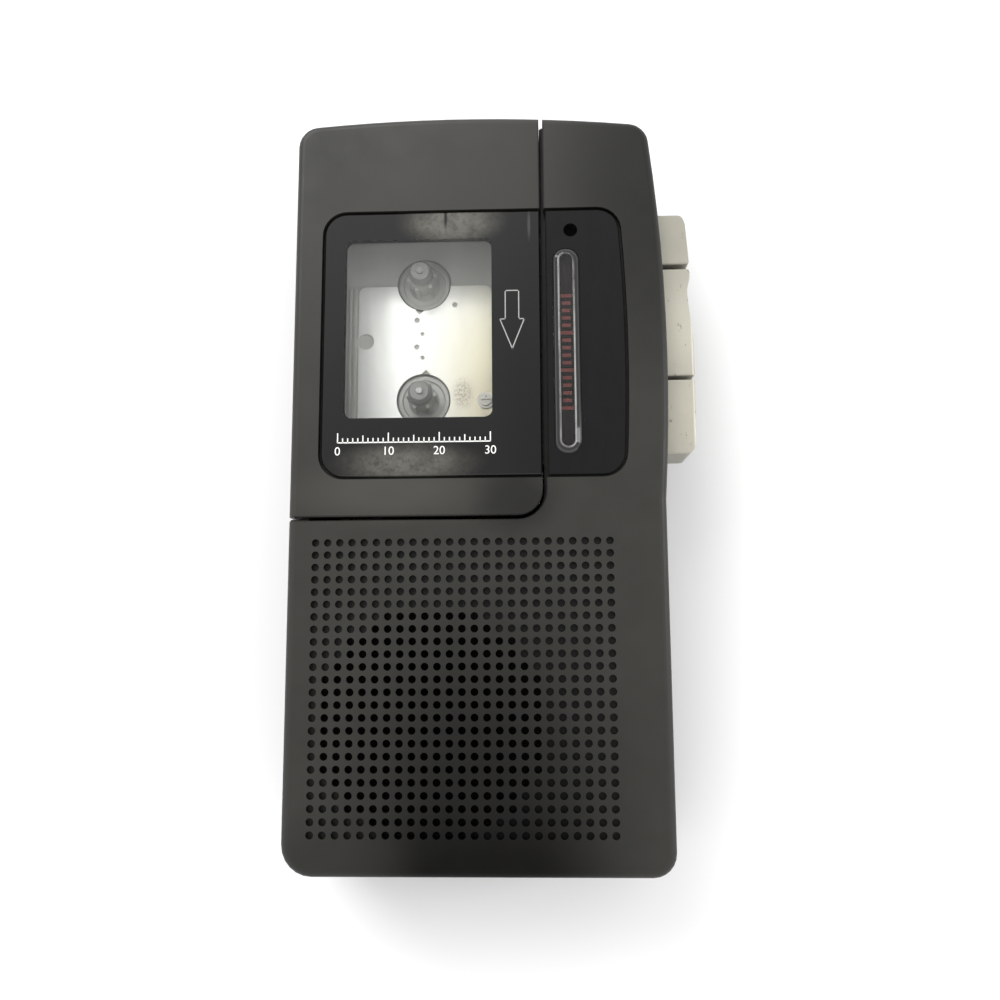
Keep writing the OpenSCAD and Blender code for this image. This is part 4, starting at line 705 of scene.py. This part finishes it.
# Outlined arrow on the lid's panel, the way the tape runs
arrow_x = 2.75 * MM
arrow_top, arrow_neck, arrow_tip = 29.25 * MM, 24.65 * MM, 19.9 * MM
shaft, head = 1.05 * MM, 1.9 * MM
arrow_line = 0.17 * MM
arrow_points = [
    (arrow_x - shaft, arrow_top),
    (arrow_x + shaft, arrow_top),
    (arrow_x + shaft, arrow_neck),
    (arrow_x + head, arrow_neck),
    (arrow_x, arrow_tip),
    (arrow_x - head, arrow_neck),
    (arrow_x - shaft, arrow_neck),
]
arrow = flat_shapes("arrow", outline_strokes(arrow_points, arrow_line), front_z, ink)
piece("arrow_print", arrow, grey_ink.mat, "lid")

# Plain tape scale under the window, with a number at every tenth tick
scale_x0, scale_x1, scale_y = -24.2 * MM, -0.7 * MM, 5.35 * MM
half_line = 0.09 * MM
numbered_tick, fifth_tick, plain_tick = 1.5 * MM, 1.1 * MM, 0.7 * MM
number_height, number_drop = 1.3 * MM, 1.95 * MM
steps = 30
numbered = 10
ticks = [bar(scale_x0, scale_y - half_line, scale_x1, scale_y + half_line)]
for i in range(steps + 1):
    x = scale_x0 + (scale_x1 - scale_x0) * i / steps
    tall = numbered_tick if i % numbered == 0 else fifth_tick if i % 5 == 0 else plain_tick
    ticks.append(bar(x - half_line, scale_y, x + half_line, scale_y + tall))
piece("scale_print", flat_shapes("scale", ticks, front_z, ink), white_ink.mat, "lid")
for i in range(steps // numbered + 1):
    x = scale_x0 + (scale_x1 - scale_x0) * i * numbered / steps
    text = str(i * numbered)
    mesh = numerals("scale_number", text, x, scale_y - number_drop, front_z, number_height, ink)
    piece(f"scale_number_{i}", mesh, white_ink.mat, "lid")

# Red level marks on the strip under the clear bar, every fifth one wider
strip_low, strip_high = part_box("lamp_strip")
strip_x = (strip_low.x + strip_high.x) / 2
mark_count = 16
first_mark, mark_pitch, mark_tall = 7.0, 1.2, 0.55
wide_half, plain_half = 1.0 * MM, 0.7 * MM
marks = []
for i in range(mark_count):
    y = strip_low.y + (first_mark + i * mark_pitch) * MM
    half = wide_half if i % 5 == 0 else plain_half
    marks.append(bar(strip_x - half, y, strip_x + half, y + mark_tall * MM))
mark_mesh = flat_shapes("level_marks", marks, strip_high.z + print_lift, 2 * ink)
piece("level_print", mark_mesh, red_ink.mat, "recorder")


# Floor, light and camera

FLOOR_REACH = 8.0
FLOOR_WHITE = (0.66, 0.66, 0.66)
FLOOR_DARK = (0.65, 0.65, 0.65)
FLOOR_LIGHT = (0.67, 0.67, 0.67)
floor_mesh = bpy.data.meshes.new("floor")
floor_corners = [(x, y, 0) for x, y in bar(-FLOOR_REACH, -FLOOR_REACH, FLOOR_REACH, FLOOR_REACH)]
floor_mesh.from_pydata(floor_corners, [], [(0, 1, 2, 3)])
floor = bpy.data.objects.new("floor", floor_mesh)
bpy.context.scene.collection.objects.link(floor)
paper_white = Shader("floor", FLOOR_WHITE, 0.9, specular=0.1)
paper_white.feed("Base Color", paper_white.mix(paper_white.noise(60.0), FLOOR_DARK, FLOOR_LIGHT))
floor_mesh.materials.append(paper_white.mat)


def softbox(name, place, target, size, power):
    data = bpy.data.lights.new(name, "AREA")
    data.shape = "RECTANGLE"
    data.size, data.size_y = size
    data.energy = power
    lamp = bpy.data.objects.new(name, data)
    lamp.location = place
    lamp.rotation_euler = (Vector(target) - Vector(place)).to_track_quat("-Z", "Y").to_euler()
    bpy.context.scene.collection.objects.link(lamp)


# White surroundings, dimmer round the direction that the photograph was taken from
SKY_MIDDLE = (-0.02, -0.14, 0.99)
SKY_FROM, SKY_TO = 0.8, 0.985
SKY_BRIGHT, SKY_DIM = 1.6, 0.75
world = bpy.data.worlds.new("studio")
world.use_nodes = True
sky = world.node_tree
towards = sky.nodes.new("ShaderNodeVectorMath")
towards.operation = "DOT_PRODUCT"
towards.inputs[1].default_value = Vector(SKY_MIDDLE).normalized()
sky.links.new(sky.nodes.new("ShaderNodeTexCoord").outputs["Generated"], towards.inputs[0])
dim = sky.nodes.new("ShaderNodeMapRange")
set_range(dim, SKY_FROM, SKY_TO, SKY_BRIGHT, SKY_DIM)
sky.links.new(towards.outputs["Value"], dim.inputs["Value"])
sky.links.new(dim.outputs["Result"], sky.nodes["Background"].inputs["Strength"])
sky.nodes["Background"].inputs["Color"].default_value = (1.0, 1.0, 1.0, 1.0)
bpy.context.scene.world = world
softbox("key_light", place=(-0.35, 0.6, 0.6), target=(0, 0, 0), size=(0.6, 0.6), power=7.0)
softbox("edge_light", place=(0.62, 0.1, 0.36), target=(0, 0, 0.02), size=(0.12, 0.6), power=1.6)
bpy.context.scene.view_settings.view_transform = "Standard"

CAMERA_PLACE = (0.00563, -0.02332, 0.16299)
CAMERA_TURN = Matrix((
    (0.99933571, 0.01042112, 0.03492181),
    (-0.00546765, 0.99027092, -0.13904532),
    (-0.03603106, 0.13876201, 0.98967008),
))
camera_data = bpy.data.cameras.new("camera")
camera_data.sensor_width = 36.0
camera_data.lens = 33.48
camera_data.clip_start = 0.005
camera = bpy.data.objects.new("camera", camera_data)
camera.matrix_world = Matrix.Translation(CAMERA_PLACE) @ CAMERA_TURN.to_4x4()
bpy.context.scene.collection.objects.link(camera)
bpy.context.scene.camera = camera
